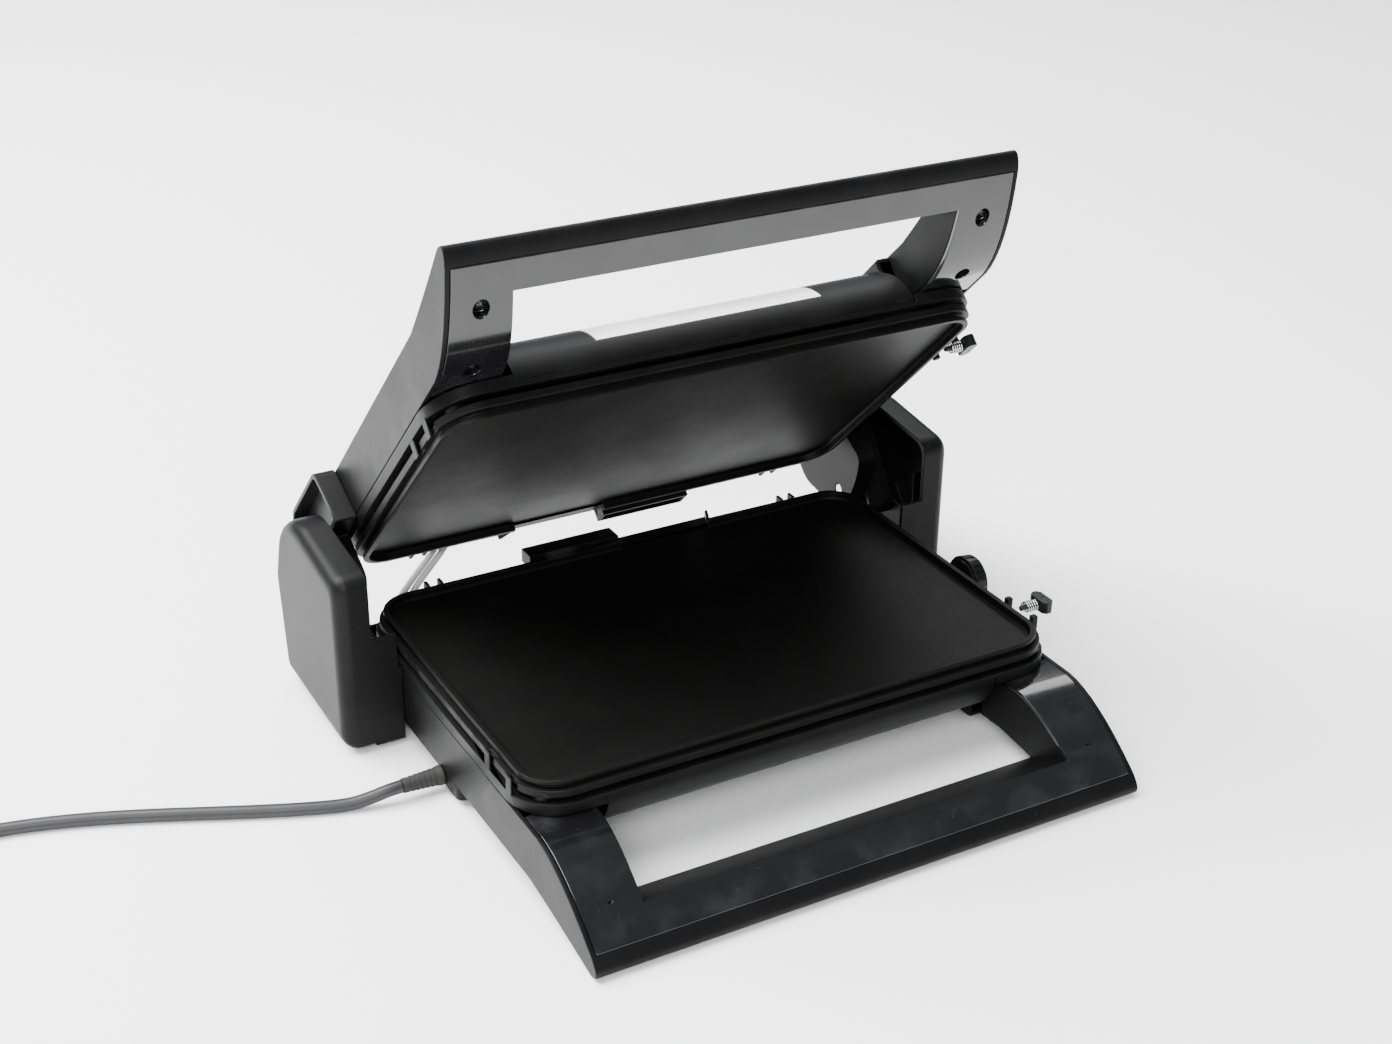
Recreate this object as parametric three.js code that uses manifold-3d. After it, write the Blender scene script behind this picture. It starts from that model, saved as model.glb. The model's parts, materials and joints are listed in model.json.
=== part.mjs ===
// Contact grill (panini press): two like halves, hinged at the back by pins that float in side guides.
// Millimetres, +Z up, +X right, the handles towards -Y. The origin is the middle of the footprint,
// on the table.
//
// Each half is modelled in its own frame: x across, s forwards from the back of the cooking surface,
// n outwards from the cooking surface. A group turns that frame into place.

import * as THREE from 'three';
import { mergeVertices } from 'three/addons/utils/BufferGeometryUtils.js';
import Module from 'manifold-3d';

const wasm = await Module();
wasm.setup();

// ---------------------------------------------------------------- driving dimensions

const COOK_WIDTH = 300;          // cooking surface, side to side
const COOK_DEPTH = 200;          // cooking surface, back to front
const COOK_RADIUS = 18;          // its corner radius
const GAP = 0.3;                 // clearance between pieces that touch
const WALL = 2.5;                // wall of a plastic moulding

const DISH_DEPTH = 4.5;          // rim above the cooking surface
const RIM_WIDTH = 3.3;
const PLATE_THICK = 4;
const FLANGE_REACH = 6;          // flange beyond the cooking surface
const DRAIN_WIDTH = 57;

const BEZEL_N = 11;              // top of the bezel, outwards from the rim
const BEZEL_HEIGHT = 6.3;
const BEZEL_REACH = 8;           // bezel and side walls beyond the cooking surface
const SHELF_WIDTH = 22;          // bezel's shelf under the flange
const BODY_DEPTH = 47.5;         // back of a half, outwards from the rim
const CORNER_BLOCK = 42.7;       // corner block, inwards from the side wall

const HANDLE_REACH = 78;         // handle tip beyond the cooking surface
const HANDLE_BAR = 18;           // bar's gloss face, front to back
const BAR_SLOPE = 12 / 26;       // fall of the bar's inner wall, which leans back under the fingers
const TIP_LIP = 5;               // rounded lip beyond the gloss face
const ARM_WIDTH = 34;            // handle arm at the bar
const ARM_ROOT = 40;             // handle arm at the body
const COVER_THICK = 2.5;
const TIP_DEPTH = 59;            // lowest point of the handle

const OPEN_ANGLE = THREE.MathUtils.degToRad(45);
const CLOSED_ANGLE = 0;
const FLAT_ANGLE = Math.PI;
const CLOSED_GAP = 1;            // between the rims when shut
const PIVOT_S = -8.64;           // hinge pin in the upper half's frame
const PIVOT_N = -20;
const SLIDE_PER_TURN = 94.36;    // pin travel per whole turn of the lid
const SLIDE_LEAN = THREE.MathUtils.degToRad(34.2);

const PIN_RADIUS = 3.5;
const PIN_CHAMFER = 0.5;
const BLOCK_WIDTH = 10;
const BLOCK_LENGTH = 12;
const GUIDE_WALL = 2.5;
const HINGE_ARM_THICK = 12;
const COVER_CLEARANCE = 3.7;     // hinge arm to side cover
const COVER_WIDTH = 18.5;        // side cover, inner edge to outer face
const COVER_ROUND = 8;

const TABLE_Z = -60;             // below the lower rim
const FOOT_RADIUS = 8;
const FOOT_HEIGHT = 3.7;
const BUTTON_TRAVEL = 4;
const CORD_DIAMETER = 7;

// ---------------------------------------------------------------- derived places

const HALF = COOK_WIDTH / 2;
const FLANGE_X = HALF + FLANGE_REACH;
const SIDE = HALF + BEZEL_REACH;
const FRONT = COOK_DEPTH + BEZEL_REACH;
const HALF_DEPTH_Y = COOK_DEPTH / 2;
const BACK = -BEZEL_REACH;
const FLANGE_BACK_N = DISH_DEPTH + PLATE_THICK;
const BODY_TOP = BEZEL_N + BEZEL_HEIGHT + GAP;
const TIP = COOK_DEPTH + HANDLE_REACH;
const BAR = TIP - HANDLE_BAR;
const CORNER_X = SIDE - CORNER_BLOCK;
const CURVE_DEPTH = 49;          // front curve of the shell, front to back
const CURVE_START = FRONT - 1 - CURVE_DEPTH;
const CURVE_TOP = BEZEL_N + WALL + GAP;
const ARM_IN = SIDE + GAP;
const ARM_OUT = ARM_IN + HINGE_ARM_THICK;
const COVER_IN = ARM_OUT + COVER_CLEARANCE;
const COVER_OUT = COVER_IN + COVER_WIDTH;

const pivotAt = (angle) => {
  const shift = (SLIDE_PER_TURN * angle) / (2 * Math.PI);
  return {
    y: HALF_DEPTH_Y - PIVOT_S + shift * Math.sin(SLIDE_LEAN),
    z: CLOSED_GAP + PIVOT_N + shift * Math.cos(SLIDE_LEAN),
  };
};

const PIVOT_SHUT = pivotAt(CLOSED_ANGLE);
const PIVOT_REST = pivotAt(OPEN_ANGLE);
const PIVOT_FLAT = pivotAt(FLAT_ANGLE);

// ---------------------------------------------------------------- solids

// A closed three.js geometry as a solid, with its faces pointing out.
function solid(geometry) {
  const bare = geometry.clone();
  bare.deleteAttribute('normal');
  bare.deleteAttribute('uv');
  const merged = mergeVertices(bare, 1e-4);
  const points = merged.attributes.position.array;
  const corner = (i) => new THREE.Vector3().fromArray(points, 3 * i);
  const triangles = [];
  let volume = 0;
  for (let i = 0; i < merged.index.count; i += 3) {
    const [a, b, c] = merged.index.array.slice(i, i + 3);
    if (a === b || b === c || c === a) continue;
    triangles.push([a, b, c]);
    volume += corner(a).dot(corner(b).cross(corner(c)));
  }
  const wound = volume > 0 ? triangles : triangles.map(([a, b, c]) => [a, c, b]);
  const mesh = new wasm.Mesh({
    numProp: 3,
    vertProperties: new Float32Array(points),
    triVerts: new Uint32Array(wound.flat()),
  });
  mesh.merge();
  return new wasm.Manifold(mesh);
}

const join = (...pieces) => pieces.reduce((a, b) => a.add(b));
const cut = (body, ...tools) => tools.reduce((a, b) => a.subtract(b), body);

function geometryOf(body) {
  const mesh = body.getMesh();
  const geometry = new THREE.BufferGeometry();
  geometry.setAttribute('position', new THREE.BufferAttribute(mesh.vertProperties, 3));
  geometry.setIndex(new THREE.BufferAttribute(mesh.triVerts, 1));
  geometry.computeVertexNormals();
  return geometry;
}

// Box between two corners.
function box([x0, y0, z0], [x1, y1, z1]) {
  const geometry = new THREE.BoxGeometry(Math.abs(x1 - x0), Math.abs(y1 - y0), Math.abs(z1 - z0));
  geometry.translate((x0 + x1) / 2, (y0 + y1) / 2, (z0 + z1) / 2);
  return solid(geometry);
}

// Cylinder from one point along +X or +Z.
function cylinder(axis, radius, [x, y, z], length, segments = 14) {
  const geometry = new THREE.CylinderGeometry(radius, radius, length, segments);
  if (axis === 'x') geometry.rotateZ(Math.PI / 2);
  if (axis === 'z') geometry.rotateX(Math.PI / 2);
  const middle = { x: [length / 2, 0, 0], z: [0, 0, length / 2] }[axis];
  geometry.translate(x + middle[0], y + middle[1], z + middle[2]);
  return solid(geometry);
}

// Extrusion of an outline in the x-y plane, from z0 to z1.
function slab(shape, z0, z1, curveSegments = 3) {
  const geometry = new THREE.ExtrudeGeometry(shape, { depth: z1 - z0, bevelEnabled: false, curveSegments });
  geometry.translate(0, 0, z0);
  return solid(geometry);
}

// Extrusion along x of an outline in the y-z plane (or s-n).
const SIDEWAYS = new THREE.Matrix4().makeBasis(
  new THREE.Vector3(0, 1, 0),
  new THREE.Vector3(0, 0, 1),
  new THREE.Vector3(1, 0, 0),
);
function prism(shape, x0, x1, options = {}) {
  const settings = { depth: x1 - x0, bevelEnabled: false, curveSegments: 4, ...options };
  const geometry = new THREE.ExtrudeGeometry(shape, settings);
  geometry.applyMatrix4(SIDEWAYS);
  geometry.translate(x0, 0, 0);
  return solid(geometry);
}

function roundedRect(x0, y0, x1, y1, radius) {
  const shape = new THREE.Shape();
  shape.absarc(x1 - radius, y0 + radius, radius, -Math.PI / 2, 0);
  shape.absarc(x1 - radius, y1 - radius, radius, 0, Math.PI / 2);
  shape.absarc(x0 + radius, y1 - radius, radius, Math.PI / 2, Math.PI);
  shape.absarc(x0 + radius, y0 + radius, radius, Math.PI, 1.5 * Math.PI);
  shape.closePath();
  return shape;
}

// Rectangle round the cooking surface, grown by a reach on every side.
const aroundCook = (reach, radius = COOK_RADIUS + reach) =>
  roundedRect(-HALF - reach, -reach, HALF + reach, COOK_DEPTH + reach, radius);

function polygon(points) {
  return new THREE.Shape(points.map(([a, b]) => new THREE.Vector2(a, b)));
}

// Polygon whose corners are rounded; each point is [a, b, radius].
function roundedPolygon(points) {
  const shape = new THREE.Shape();
  points.forEach(([a, b, radius = 0], i) => {
    const here = new THREE.Vector2(a, b);
    const before = new THREE.Vector2(...points.at(i - 1).slice(0, 2));
    const after = new THREE.Vector2(...points[(i + 1) % points.length].slice(0, 2));
    const enter = here.clone().add(before.sub(here).setLength(radius));
    const leave = here.clone().add(after.sub(here).setLength(radius));
    if (i === 0) shape.moveTo(enter.x, enter.y);
    else shape.lineTo(enter.x, enter.y);
    if (radius > 0) shape.quadraticCurveTo(a, b, leave.x, leave.y);
  });
  shape.closePath();
  return shape;
}

// Round bar or lead of a given radius along a smooth curve.
function tube(points, radius, steps, sides = 8, curve = new THREE.CatmullRomCurve3(points)) {
  const section = new THREE.Shape();
  for (let i = 0; i < sides; i += 1) {
    const angle = (2 * Math.PI * i) / sides;
    const corner = [radius * Math.cos(angle), radius * Math.sin(angle)];
    if (i === 0) section.moveTo(...corner);
    else section.lineTo(...corner);
  }
  section.closePath();
  return solid(new THREE.ExtrudeGeometry(section, { steps, extrudePath: curve, bevelEnabled: false }));
}

// Solid through rings of equally many points, closed by a flat face at each end.
function loft(rings) {
  const clockwise = THREE.ShapeUtils.isClockWise(rings[0].map((p) => new THREE.Vector2(p.y, p.z)));
  const wound = rings.map((ring) => (clockwise ? ring.slice(0, -1).reverse() : ring.slice(0, -1)));
  const flat = wound[0].map((p) => new THREE.Vector2(p.y, p.z));
  const count = flat.length;
  const points = wound.flat();
  const caps = THREE.ShapeUtils.triangulateShape(flat, []);
  const last = (rings.length - 1) * count;
  const faces = [...caps.map(([a, b, c]) => [c, b, a]), ...caps.map((face) => face.map((i) => i + last))];
  for (let ring = 0; ring < last; ring += count) {
    for (let i = 0; i < count; i += 1) {
      const j = (i + 1) % count;
      faces.push([ring + i, ring + j, ring + count + j], [ring + i, ring + count + j, ring + count + i]);
    }
  }
  const geometry = new THREE.BufferGeometry().setFromPoints(points);
  geometry.setIndex(faces.flat());
  return solid(geometry);
}

// Round piece about its own z axis, from [radius, z] points that start and end on the axis.
function turned(profile, segments = 20) {
  const geometry = new THREE.LatheGeometry(profile.map(([r, z]) => new THREE.Vector2(r, z)), segments);
  geometry.rotateX(Math.PI / 2);
  return solid(geometry);
}

// ---------------------------------------------------------------- finishes

const finish = (color, roughness, metalness) => () =>
  new THREE.MeshStandardMaterial({ color, roughness, metalness });
const MATT_BLACK = finish(0x161616, 0.6, 0);
const GLOSS_BLACK = finish(0x0b0b0c, 0.18, 0);
const NON_STICK = finish(0x101010, 0.5, 0.1);
const BRIGHT_STEEL = finish(0xb9bcbf, 0.3, 1);
const DARK_STEEL = finish(0x5c5f63, 0.4, 1);
const TRAY_STEEL = finish(0x9a9da0, 0.45, 1);
const RUBBER = finish(0x141414, 0.85, 0);
const CREAM = finish(0xd8d2c4, 0.5, 0);
const SLEEVE = finish(0x3a3b3c, 0.55, 0);
const CORD_BLACK = finish(0x171717, 0.6, 0);

function add(group, name, body, material) {
  const mesh = new THREE.Mesh(geometryOf(body), material());
  mesh.name = name;
  group.add(mesh);
  return mesh;
}

// ---------------------------------------------------------------- grill plate

const LEDGE_BACK = -17;          // drain ledge behind the rim
const PAD_RADIUS = 5;
const NOTCH_PLACES = [160, 185]; // latch notches, for a plate of the nominal depth
const NOMINAL_DEPTH = 200;
const NOTCH_WIDTH = 8;

const alongSide = (s) => (s * COOK_DEPTH) / NOMINAL_DEPTH;

function grillPlate() {
  const floor = slab(aroundCook(FLANGE_REACH), DISH_DEPTH, FLANGE_BACK_N);
  const grooveStep = slab(aroundCook(RIM_WIDTH - 1.5), 2.5, DISH_DEPTH + 0.5);
  const rim = slab(aroundCook(RIM_WIDTH), 0, 2.6);
  const recess = slab(aroundCook(0), -1, DISH_DEPTH);
  const drain = box([0, -FLANGE_REACH - 1, -1], [DRAIN_WIDTH, 1, DISH_DEPTH]);
  const dish = cut(join(floor, grooveStep, rim), recess, drain);

  const ledge = cut(
    box([-DRAIN_WIDTH, LEDGE_BACK, -2], [-GAP, -FLANGE_REACH + 1, DISH_DEPTH + 2]),
    box([-DRAIN_WIDTH + 2, LEDGE_BACK + 2, -3], [-2, -FLANGE_REACH - 1, DISH_DEPTH - 1]),
  );
  const finAt = (x, lean) => slab(
    polygon([[x, -2], [x + 2, -2], [x + 2 + lean, -14], [x + lean, -14]]), 0.4, DISH_DEPTH + 1,
  );
  const fins = [finAt(DRAIN_WIDTH, 5), finAt(-2 - GAP, 0)];
  const lip = box([-2, -14, DISH_DEPTH], [DRAIN_WIDTH + 5, -FLANGE_REACH + 1, DISH_DEPTH + 1.5]);
  const prongs = [-1, 1].flatMap((side) => [-4, 4].map((shift) => {
    const x = side * (HALF - 35) + shift;
    return box([x - 1, -FLANGE_REACH - 5, 0.5], [x + 1, -FLANGE_REACH + 1, DISH_DEPTH + 1.5]);
  }));
  const pads = [-1, 1].flatMap((side) => [4, COOK_DEPTH - 4].map((s) => cylinder(
    'z', PAD_RADIUS, [side * (HALF - 5), s, FLANGE_BACK_N - 1], BEZEL_N - FLANGE_BACK_N - GAP + 1, 12,
  )));
  const notches = [-1, 1].flatMap((side) => NOTCH_PLACES.map((s) => box(
    [side * (FLANGE_X - 2.5), alongSide(s) - NOTCH_WIDTH / 2, DISH_DEPTH - 0.2],
    [side * (FLANGE_X + 1), alongSide(s) + NOTCH_WIDTH / 2, FLANGE_BACK_N + 1],
  )));
  return cut(join(dish, ledge, lip, ...fins, ...prongs, ...pads), ...notches);
}

// ---------------------------------------------------------------- heater, tray, thermostat, fuse

const ELEMENT_RADIUS = 3.25;
const ELEMENT_N = FLANGE_BACK_N + 1.25 + ELEMENT_RADIUS;
const ELEMENT_INSET = 34;
const TRAY_THICK = 1;
const TRAY_DROP = 8;

// Bent rod with two legs that meet at the back.
function heatingElement() {
  const outer = HALF - ELEMENT_INSET;
  const near = ELEMENT_INSET;
  const far = COOK_DEPTH - ELEMENT_INSET;
  const inner = 46;
  const terminal = 14;
  const route = [
    [-terminal, near + 12], [-inner + 6, near + 14], [-inner, near + 40], [-inner, far - 40],
    [-inner - 14, far - 8], [-outer + 14, far - 8], [-outer, far - 40], [-outer, near + 26],
    [-outer + 20, near], [0, near - 8], [outer - 20, near], [outer, near + 26],
    [outer, far - 40], [outer - 14, far - 8], [inner + 14, far - 8],
    [inner, far - 40], [inner, near + 40], [inner - 6, near + 14], [terminal, near + 12],
  ].map(([x, s]) => new THREE.Vector3(x, s, ELEMENT_N));
  return tube(route, ELEMENT_RADIUS, 44, 6);
}

function reflectorTray() {
  const flangeReach = -SHELF_WIDTH + 8;
  const tubReach = -SHELF_WIDTH + 1;
  const top = BEZEL_N + WALL + GAP;
  const flange = slab(aroundCook(flangeReach, 12), top, top + TRAY_THICK);
  const tub = slab(aroundCook(tubReach, 10), top, top + TRAY_DROP);
  const inside = slab(aroundCook(tubReach - TRAY_THICK, 9), top - 1, top + TRAY_DROP - TRAY_THICK);
  return cut(join(flange, tub), inside);
}
const TRAY_BACK_N = BEZEL_N + WALL + GAP + TRAY_DROP;

function thermostat() {
  return turned([[0, 0], [9, 0], [9, 4], [5.5, 5.5], [5.5, 9], [0, 9]], 16);
}

function thermalFuse() {
  return turned([[0, 0], [0.8, 0], [0.8, 6], [2.6, 7], [2.6, 19], [0.8, 20], [0.8, 26], [0, 26]], 12);
}

// ---------------------------------------------------------------- bezel

const LATCH_HALF = 13;           // half length of the latch bracket
const LATCH_N = 1.5;             // latch stem, outwards from the rim
const LATCH_THICK = 3.6;
const LATCH_TOP = 0.3;
const STEM_RADIUS = 1.6;
const CATCH_TOP = 2;

function bezel(latchSide, latchS) {
  const ringTop = slab(aroundCook(BEZEL_REACH), BEZEL_N, BEZEL_N + WALL);
  const ringSkirt = slab(aroundCook(BEZEL_REACH), BEZEL_N, BEZEL_N + BEZEL_HEIGHT);
  const skirtInside = slab(aroundCook(BEZEL_REACH - WALL), BEZEL_N + WALL, BEZEL_N + BEZEL_HEIGHT + 1);
  const opening = slab(aroundCook(BEZEL_REACH - SHELF_WIDTH, 12), BEZEL_N - 1, BEZEL_N + WALL + 1);
  const shellSide = box([-CORNER_X, COOK_DEPTH - 5, BEZEL_N + WALL], [CORNER_X, FRONT + 1, BODY_TOP + 1]);
  const ring = cut(join(ringTop, cut(ringSkirt, skirtInside)), opening, shellSide);

  const inner = FLANGE_X + 2 * GAP;
  const bracket = cut(
    box(
      [latchSide * inner, latchS - LATCH_HALF, LATCH_TOP],
      [latchSide * (inner + LATCH_THICK), latchS + LATCH_HALF, BEZEL_N + WALL],
    ),
    box(
      [latchSide * (inner - 1), latchS - LATCH_HALF + 3.5, LATCH_N - 4],
      [latchSide * (inner + LATCH_THICK + 1), latchS + LATCH_HALF - 3.5, LATCH_N + 4.5],
    ),
  );
  const catches = NOTCH_PLACES.map((s) => box(
    [-latchSide * inner, alongSide(s) - NOTCH_WIDTH / 2 + 1, CATCH_TOP],
    [-latchSide * (SIDE - 0.2), alongSide(s) + NOTCH_WIDTH / 2 - 1, BEZEL_N + 1],
  ));
  return join(ring, bracket, ...catches);
}

// ---------------------------------------------------------------- side frame with the handle

const COVER_START = COOK_DEPTH - 2;
const BAR_FACE_N = BODY_TOP + 21; // gloss face where the finger opening ends
const HANDLE_CURVE = { curveSegments: 8 };
const FOOT_BOSS_DEPTH = -TABLE_Z - FOOT_HEIGHT - GAP - BODY_DEPTH;
const FOOT_BOSS = { s: 108, length: 27, width: 20, depth: FOOT_BOSS_DEPTH };

const KNEE = COOK_DEPTH + 16;     // where the gloss face turns outwards
const FACE_N = BODY_TOP + 0.2;   // gloss face at the knee
const FACE_END = TIP - TIP_LIP;
const FACE_END_N = BODY_TOP + 30;

// Gloss face of the handle, or a line at a depth below it, from the body to its end.
function handleLine(shape, below = 0, end = FACE_END) {
  shape.lineTo(KNEE, FACE_N + below);
  shape.quadraticCurveTo(KNEE + 24, FACE_N + 2.2 + below, end, FACE_END_N + below);
}

const HANDLE_BACK = new THREE.QuadraticBezierCurve(
  new THREE.Vector2(TIP - 6, TIP_DEPTH),
  new THREE.Vector2(COOK_DEPTH + 36, BODY_DEPTH + 4),
  new THREE.Vector2(COOK_DEPTH + 6, BODY_DEPTH),
);

// Outer edge of the handle: a rounded lip, then back to the body.
function handleBack(shape) {
  shape.quadraticCurveTo(TIP - 1, FACE_END_N + 4, TIP, FACE_END_N + 7);
  shape.quadraticCurveTo(TIP + 0.8, TIP_DEPTH, HANDLE_BACK.v0.x, HANDLE_BACK.v0.y);
  shape.quadraticCurveTo(HANDLE_BACK.v1.x, HANDLE_BACK.v1.y, HANDLE_BACK.v2.x, HANDLE_BACK.v2.y);
}

function outlineFrom(s, n) {
  const shape = new THREE.Shape();
  shape.moveTo(s, BODY_DEPTH);
  shape.lineTo(s, n);
  handleLine(shape);
  handleBack(shape);
  shape.closePath();
  return shape;
}
const sideOutline = () => outlineFrom(BACK, BODY_TOP);
const handleOutline = () => outlineFrom(CURVE_START + 32, BODY_TOP);

// Hollow of the handle: its outline moved in by one wall, and open towards the gloss cover.
function hollowOutline() {
  const shape = new THREE.Shape();
  shape.moveTo(CURVE_START, BODY_DEPTH - WALL);
  shape.lineTo(CURVE_START, BODY_TOP - 10);
  shape.lineTo(KNEE, BODY_TOP - 10);
  shape.lineTo(FACE_END - WALL, BODY_TOP + 20);
  shape.lineTo(FACE_END, TIP_DEPTH - 4);
  shape.quadraticCurveTo(FACE_END, TIP_DEPTH - WALL, FACE_END - 4, TIP_DEPTH - WALL);
  shape.quadraticCurveTo(COOK_DEPTH + 36, BODY_DEPTH + 4 - WALL, COOK_DEPTH + 6, BODY_DEPTH - WALL);
  shape.closePath();
  return shape;
}

// Band from one line above or below the gloss face to another.
function faceBand(start, above, below, end = FACE_END) {
  const shape = new THREE.Shape();
  shape.moveTo(start, FACE_N + below);
  if (above > 0) {
    shape.lineTo(start, FACE_N - above);
    shape.lineTo(end, FACE_N - above);
    shape.lineTo(end, FACE_END_N + below);
  } else {
    shape.lineTo(start, FACE_N);
    handleLine(shape);
    shape.lineTo(end, FACE_END_N + below);
  }
  shape.quadraticCurveTo(KNEE + 24, FACE_N + 2.2 + below, KNEE, FACE_N + below);
  shape.closePath();
  return shape;
}
const coverOutline = () => faceBand(COVER_START, 0, COVER_THICK);
const coverSeatOutline = () => faceBand(CURVE_START, 6, COVER_THICK + GAP, FACE_END + GAP);
const openAirOutline = () => faceBand(CURVE_START, 30, 0);

// The finger opening, grown by a margin. Its front wall slopes back below the gloss face.
function fingerOpening(grow = 0) {
  const root = SIDE - ARM_ROOT + grow;
  const front = SIDE - ARM_WIDTH + grow;
  const back = CURVE_START - 20;
  const high = -40;
  const plan = polygon([[-root, back], [root, back], [front, BAR + grow], [-front, BAR + grow]]);
  const wallN = (s) => BAR_FACE_N + (BAR - s) * BAR_SLOPE + grow * Math.hypot(1, BAR_SLOPE);
  const profile = polygon([
    [back - 1, high], [BAR + grow, high], [BAR + grow, wallN(BAR + grow)], [back - 1, wallN(back - 1)],
  ]);
  return slab(plan, high + 1, TIP_DEPTH + 20).intersect(prism(profile, -SIDE, SIDE));
}

const SCREW_PLACES = [-1, 1].flatMap((side) => [
  { x: side * (SIDE - 18.3), s: COOK_DEPTH + 20, face: BODY_TOP + 0.7, short: 0.8 },
  { x: side * (SIDE - 18.3), s: COOK_DEPTH + 54.5, face: BODY_TOP + 16, short: 0.4 },
]);
const ACCESS_RADIUS = 4.25;
const BOSS_RADIUS = 6.2;
const SEAT_DEPTH = 7;
const SHANK_RADIUS = 1.75;

// Underside of the handle at a place along it.
const BACK_POINTS = HANDLE_BACK.getPoints(400);
const handleBackAt = (s) => BACK_POINTS.find((point) => point.x <= s).y;

// Bosses and holes for the handle screws. Heads sit in the gloss cover, or in the frame from behind.
function screwWork(headsInCover) {
  return SCREW_PLACES.map(({ x, s, face, short }) => {
    const back = handleBackAt(s) - short;
    const seat = headsInCover ? face + SEAT_DEPTH : back - SEAT_DEPTH;
    const low = headsInCover ? face : seat - 2;
    const high = headsInCover ? seat + 2 : back;
    const well = {
      boss: cylinder('z', BOSS_RADIUS, [x, s, low + (headsInCover ? 1 : 0)], high - low - 1),
      hole: headsInCover
        ? cylinder('z', ACCESS_RADIUS, [x, s, face - 12], seat - face + 12)
        : cylinder('z', ACCESS_RADIUS, [x, s, seat], back - seat + 12),
      shank: cylinder('z', SHANK_RADIUS + GAP, [x, s, low - 1], high - low + 2, 12),
    };
    const postLow = headsInCover ? high + GAP : face + 1;
    const postHigh = headsInCover ? back - 1 : low - GAP;
    const post = {
      boss: cylinder('z', BOSS_RADIUS - 1, [x, s, postLow], postHigh - postLow, 12),
      hole: headsInCover
        ? cylinder('z', SHANK_RADIUS + GAP, [x, s, postLow - 1], 12, 12)
        : cylinder('z', SHANK_RADIUS + GAP, [x, s, postHigh - 11], 12, 12),
    };
    return { well, post, x, s, seat };
  });
}

// Adds bosses, opens their holes and clears whatever stands proud of the gloss face.
function drill(body, parts) {
  const holes = parts.flatMap((part) => [part.hole, part.shank].filter(Boolean));
  const openAir = prism(openAirOutline(), -SIDE - 1, SIDE + 1, HANDLE_CURVE);
  return cut(join(body, ...parts.map((part) => part.boss)), ...holes, openAir);
}

function sideFrame(work, headsInCover, withFeet) {
  const walls = [-1, 1].map((side) => {
    const [x0, x1] = [side * SIDE, side * (SIDE - WALL)].sort((a, b) => a - b);
    return prism(sideOutline(), x0, x1, HANDLE_CURVE);
  });
  const handle = prism(handleOutline(), -SIDE, SIDE, HANDLE_CURVE);
  const keepWalls = fingerOpening(WALL);
  const hollow = cut(prism(hollowOutline(), -SIDE + WALL, SIDE - WALL, HANDLE_CURVE), keepWalls);
  const coverSeat = prism(coverSeatOutline(), -SIDE + WALL, SIDE - WALL, HANDLE_CURVE);
  const backWall = box([-SIDE + 1, BACK, BODY_TOP], [SIDE - 1, BACK + WALL, BODY_DEPTH]);
  const tray = cut(handle, fingerOpening(), hollow, coverSeat);
  const feet = withFeet ? [-1, 1].map((side) => footBoss(side)) : [];
  const body = join(tray, ...walls, backWall, ...feet);
  return drill(body, work.map((place) => (headsInCover ? place.post : place.well)));
}

function footBoss(side, grow = 0) {
  const near = side * (SIDE - FOOT_BOSS.width - grow);
  const [x0, x1] = [near, side * (SIDE + grow)].sort((a, b) => a - b);
  const half = FOOT_BOSS.length / 2 + grow;
  const outline = roundedRect(x0, FOOT_BOSS.s - half, x1, FOOT_BOSS.s + half, 4 + grow);
  return slab(outline, BODY_DEPTH - WALL - grow, BODY_DEPTH + FOOT_BOSS.depth + grow);
}

function handleCover(work, headsInCover) {
  const band = prism(coverOutline(), -SIDE + WALL + GAP, SIDE - WALL - GAP, HANDLE_CURVE);
  const plate = cut(band, fingerOpening());
  return drill(plate, work.map((place) => (headsInCover ? place.well : place.post)));
}

function screw() {
  return turned([
    [0, 0], [2.2, 0.5], [3.7, 1.4], [3.7, 2.6], [SHANK_RADIUS, 2.6], [SHANK_RADIUS, 11], [0, 12.5],
  ], 10);
}

// ---------------------------------------------------------------- shell and inlay

const SHELL_CURVE = { curveSegments: 10 };
const INLAY = { half: 65, depth: 0.8, start: 28, back: 95 };

// Band that follows the shell's front curve, between two offsets, from a height n to a place s.
function curvedBand(lowOffset, highOffset, startN, backS) {
  const reach = CURVE_DEPTH;
  const height = BODY_DEPTH - CURVE_TOP;
  const startAngle = Math.asin((startN - CURVE_TOP) / height);
  const shape = new THREE.Shape();
  const top = Math.PI / 2;
  shape.absellipse(CURVE_START, CURVE_TOP, reach + highOffset, height + highOffset, startAngle, top, false);
  shape.lineTo(backS, BODY_DEPTH + highOffset);
  shape.lineTo(backS, BODY_DEPTH + lowOffset);
  shape.absellipse(CURVE_START, CURVE_TOP, reach + lowOffset, height + lowOffset, top, startAngle, true);
  shape.closePath();
  return shape;
}

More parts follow.
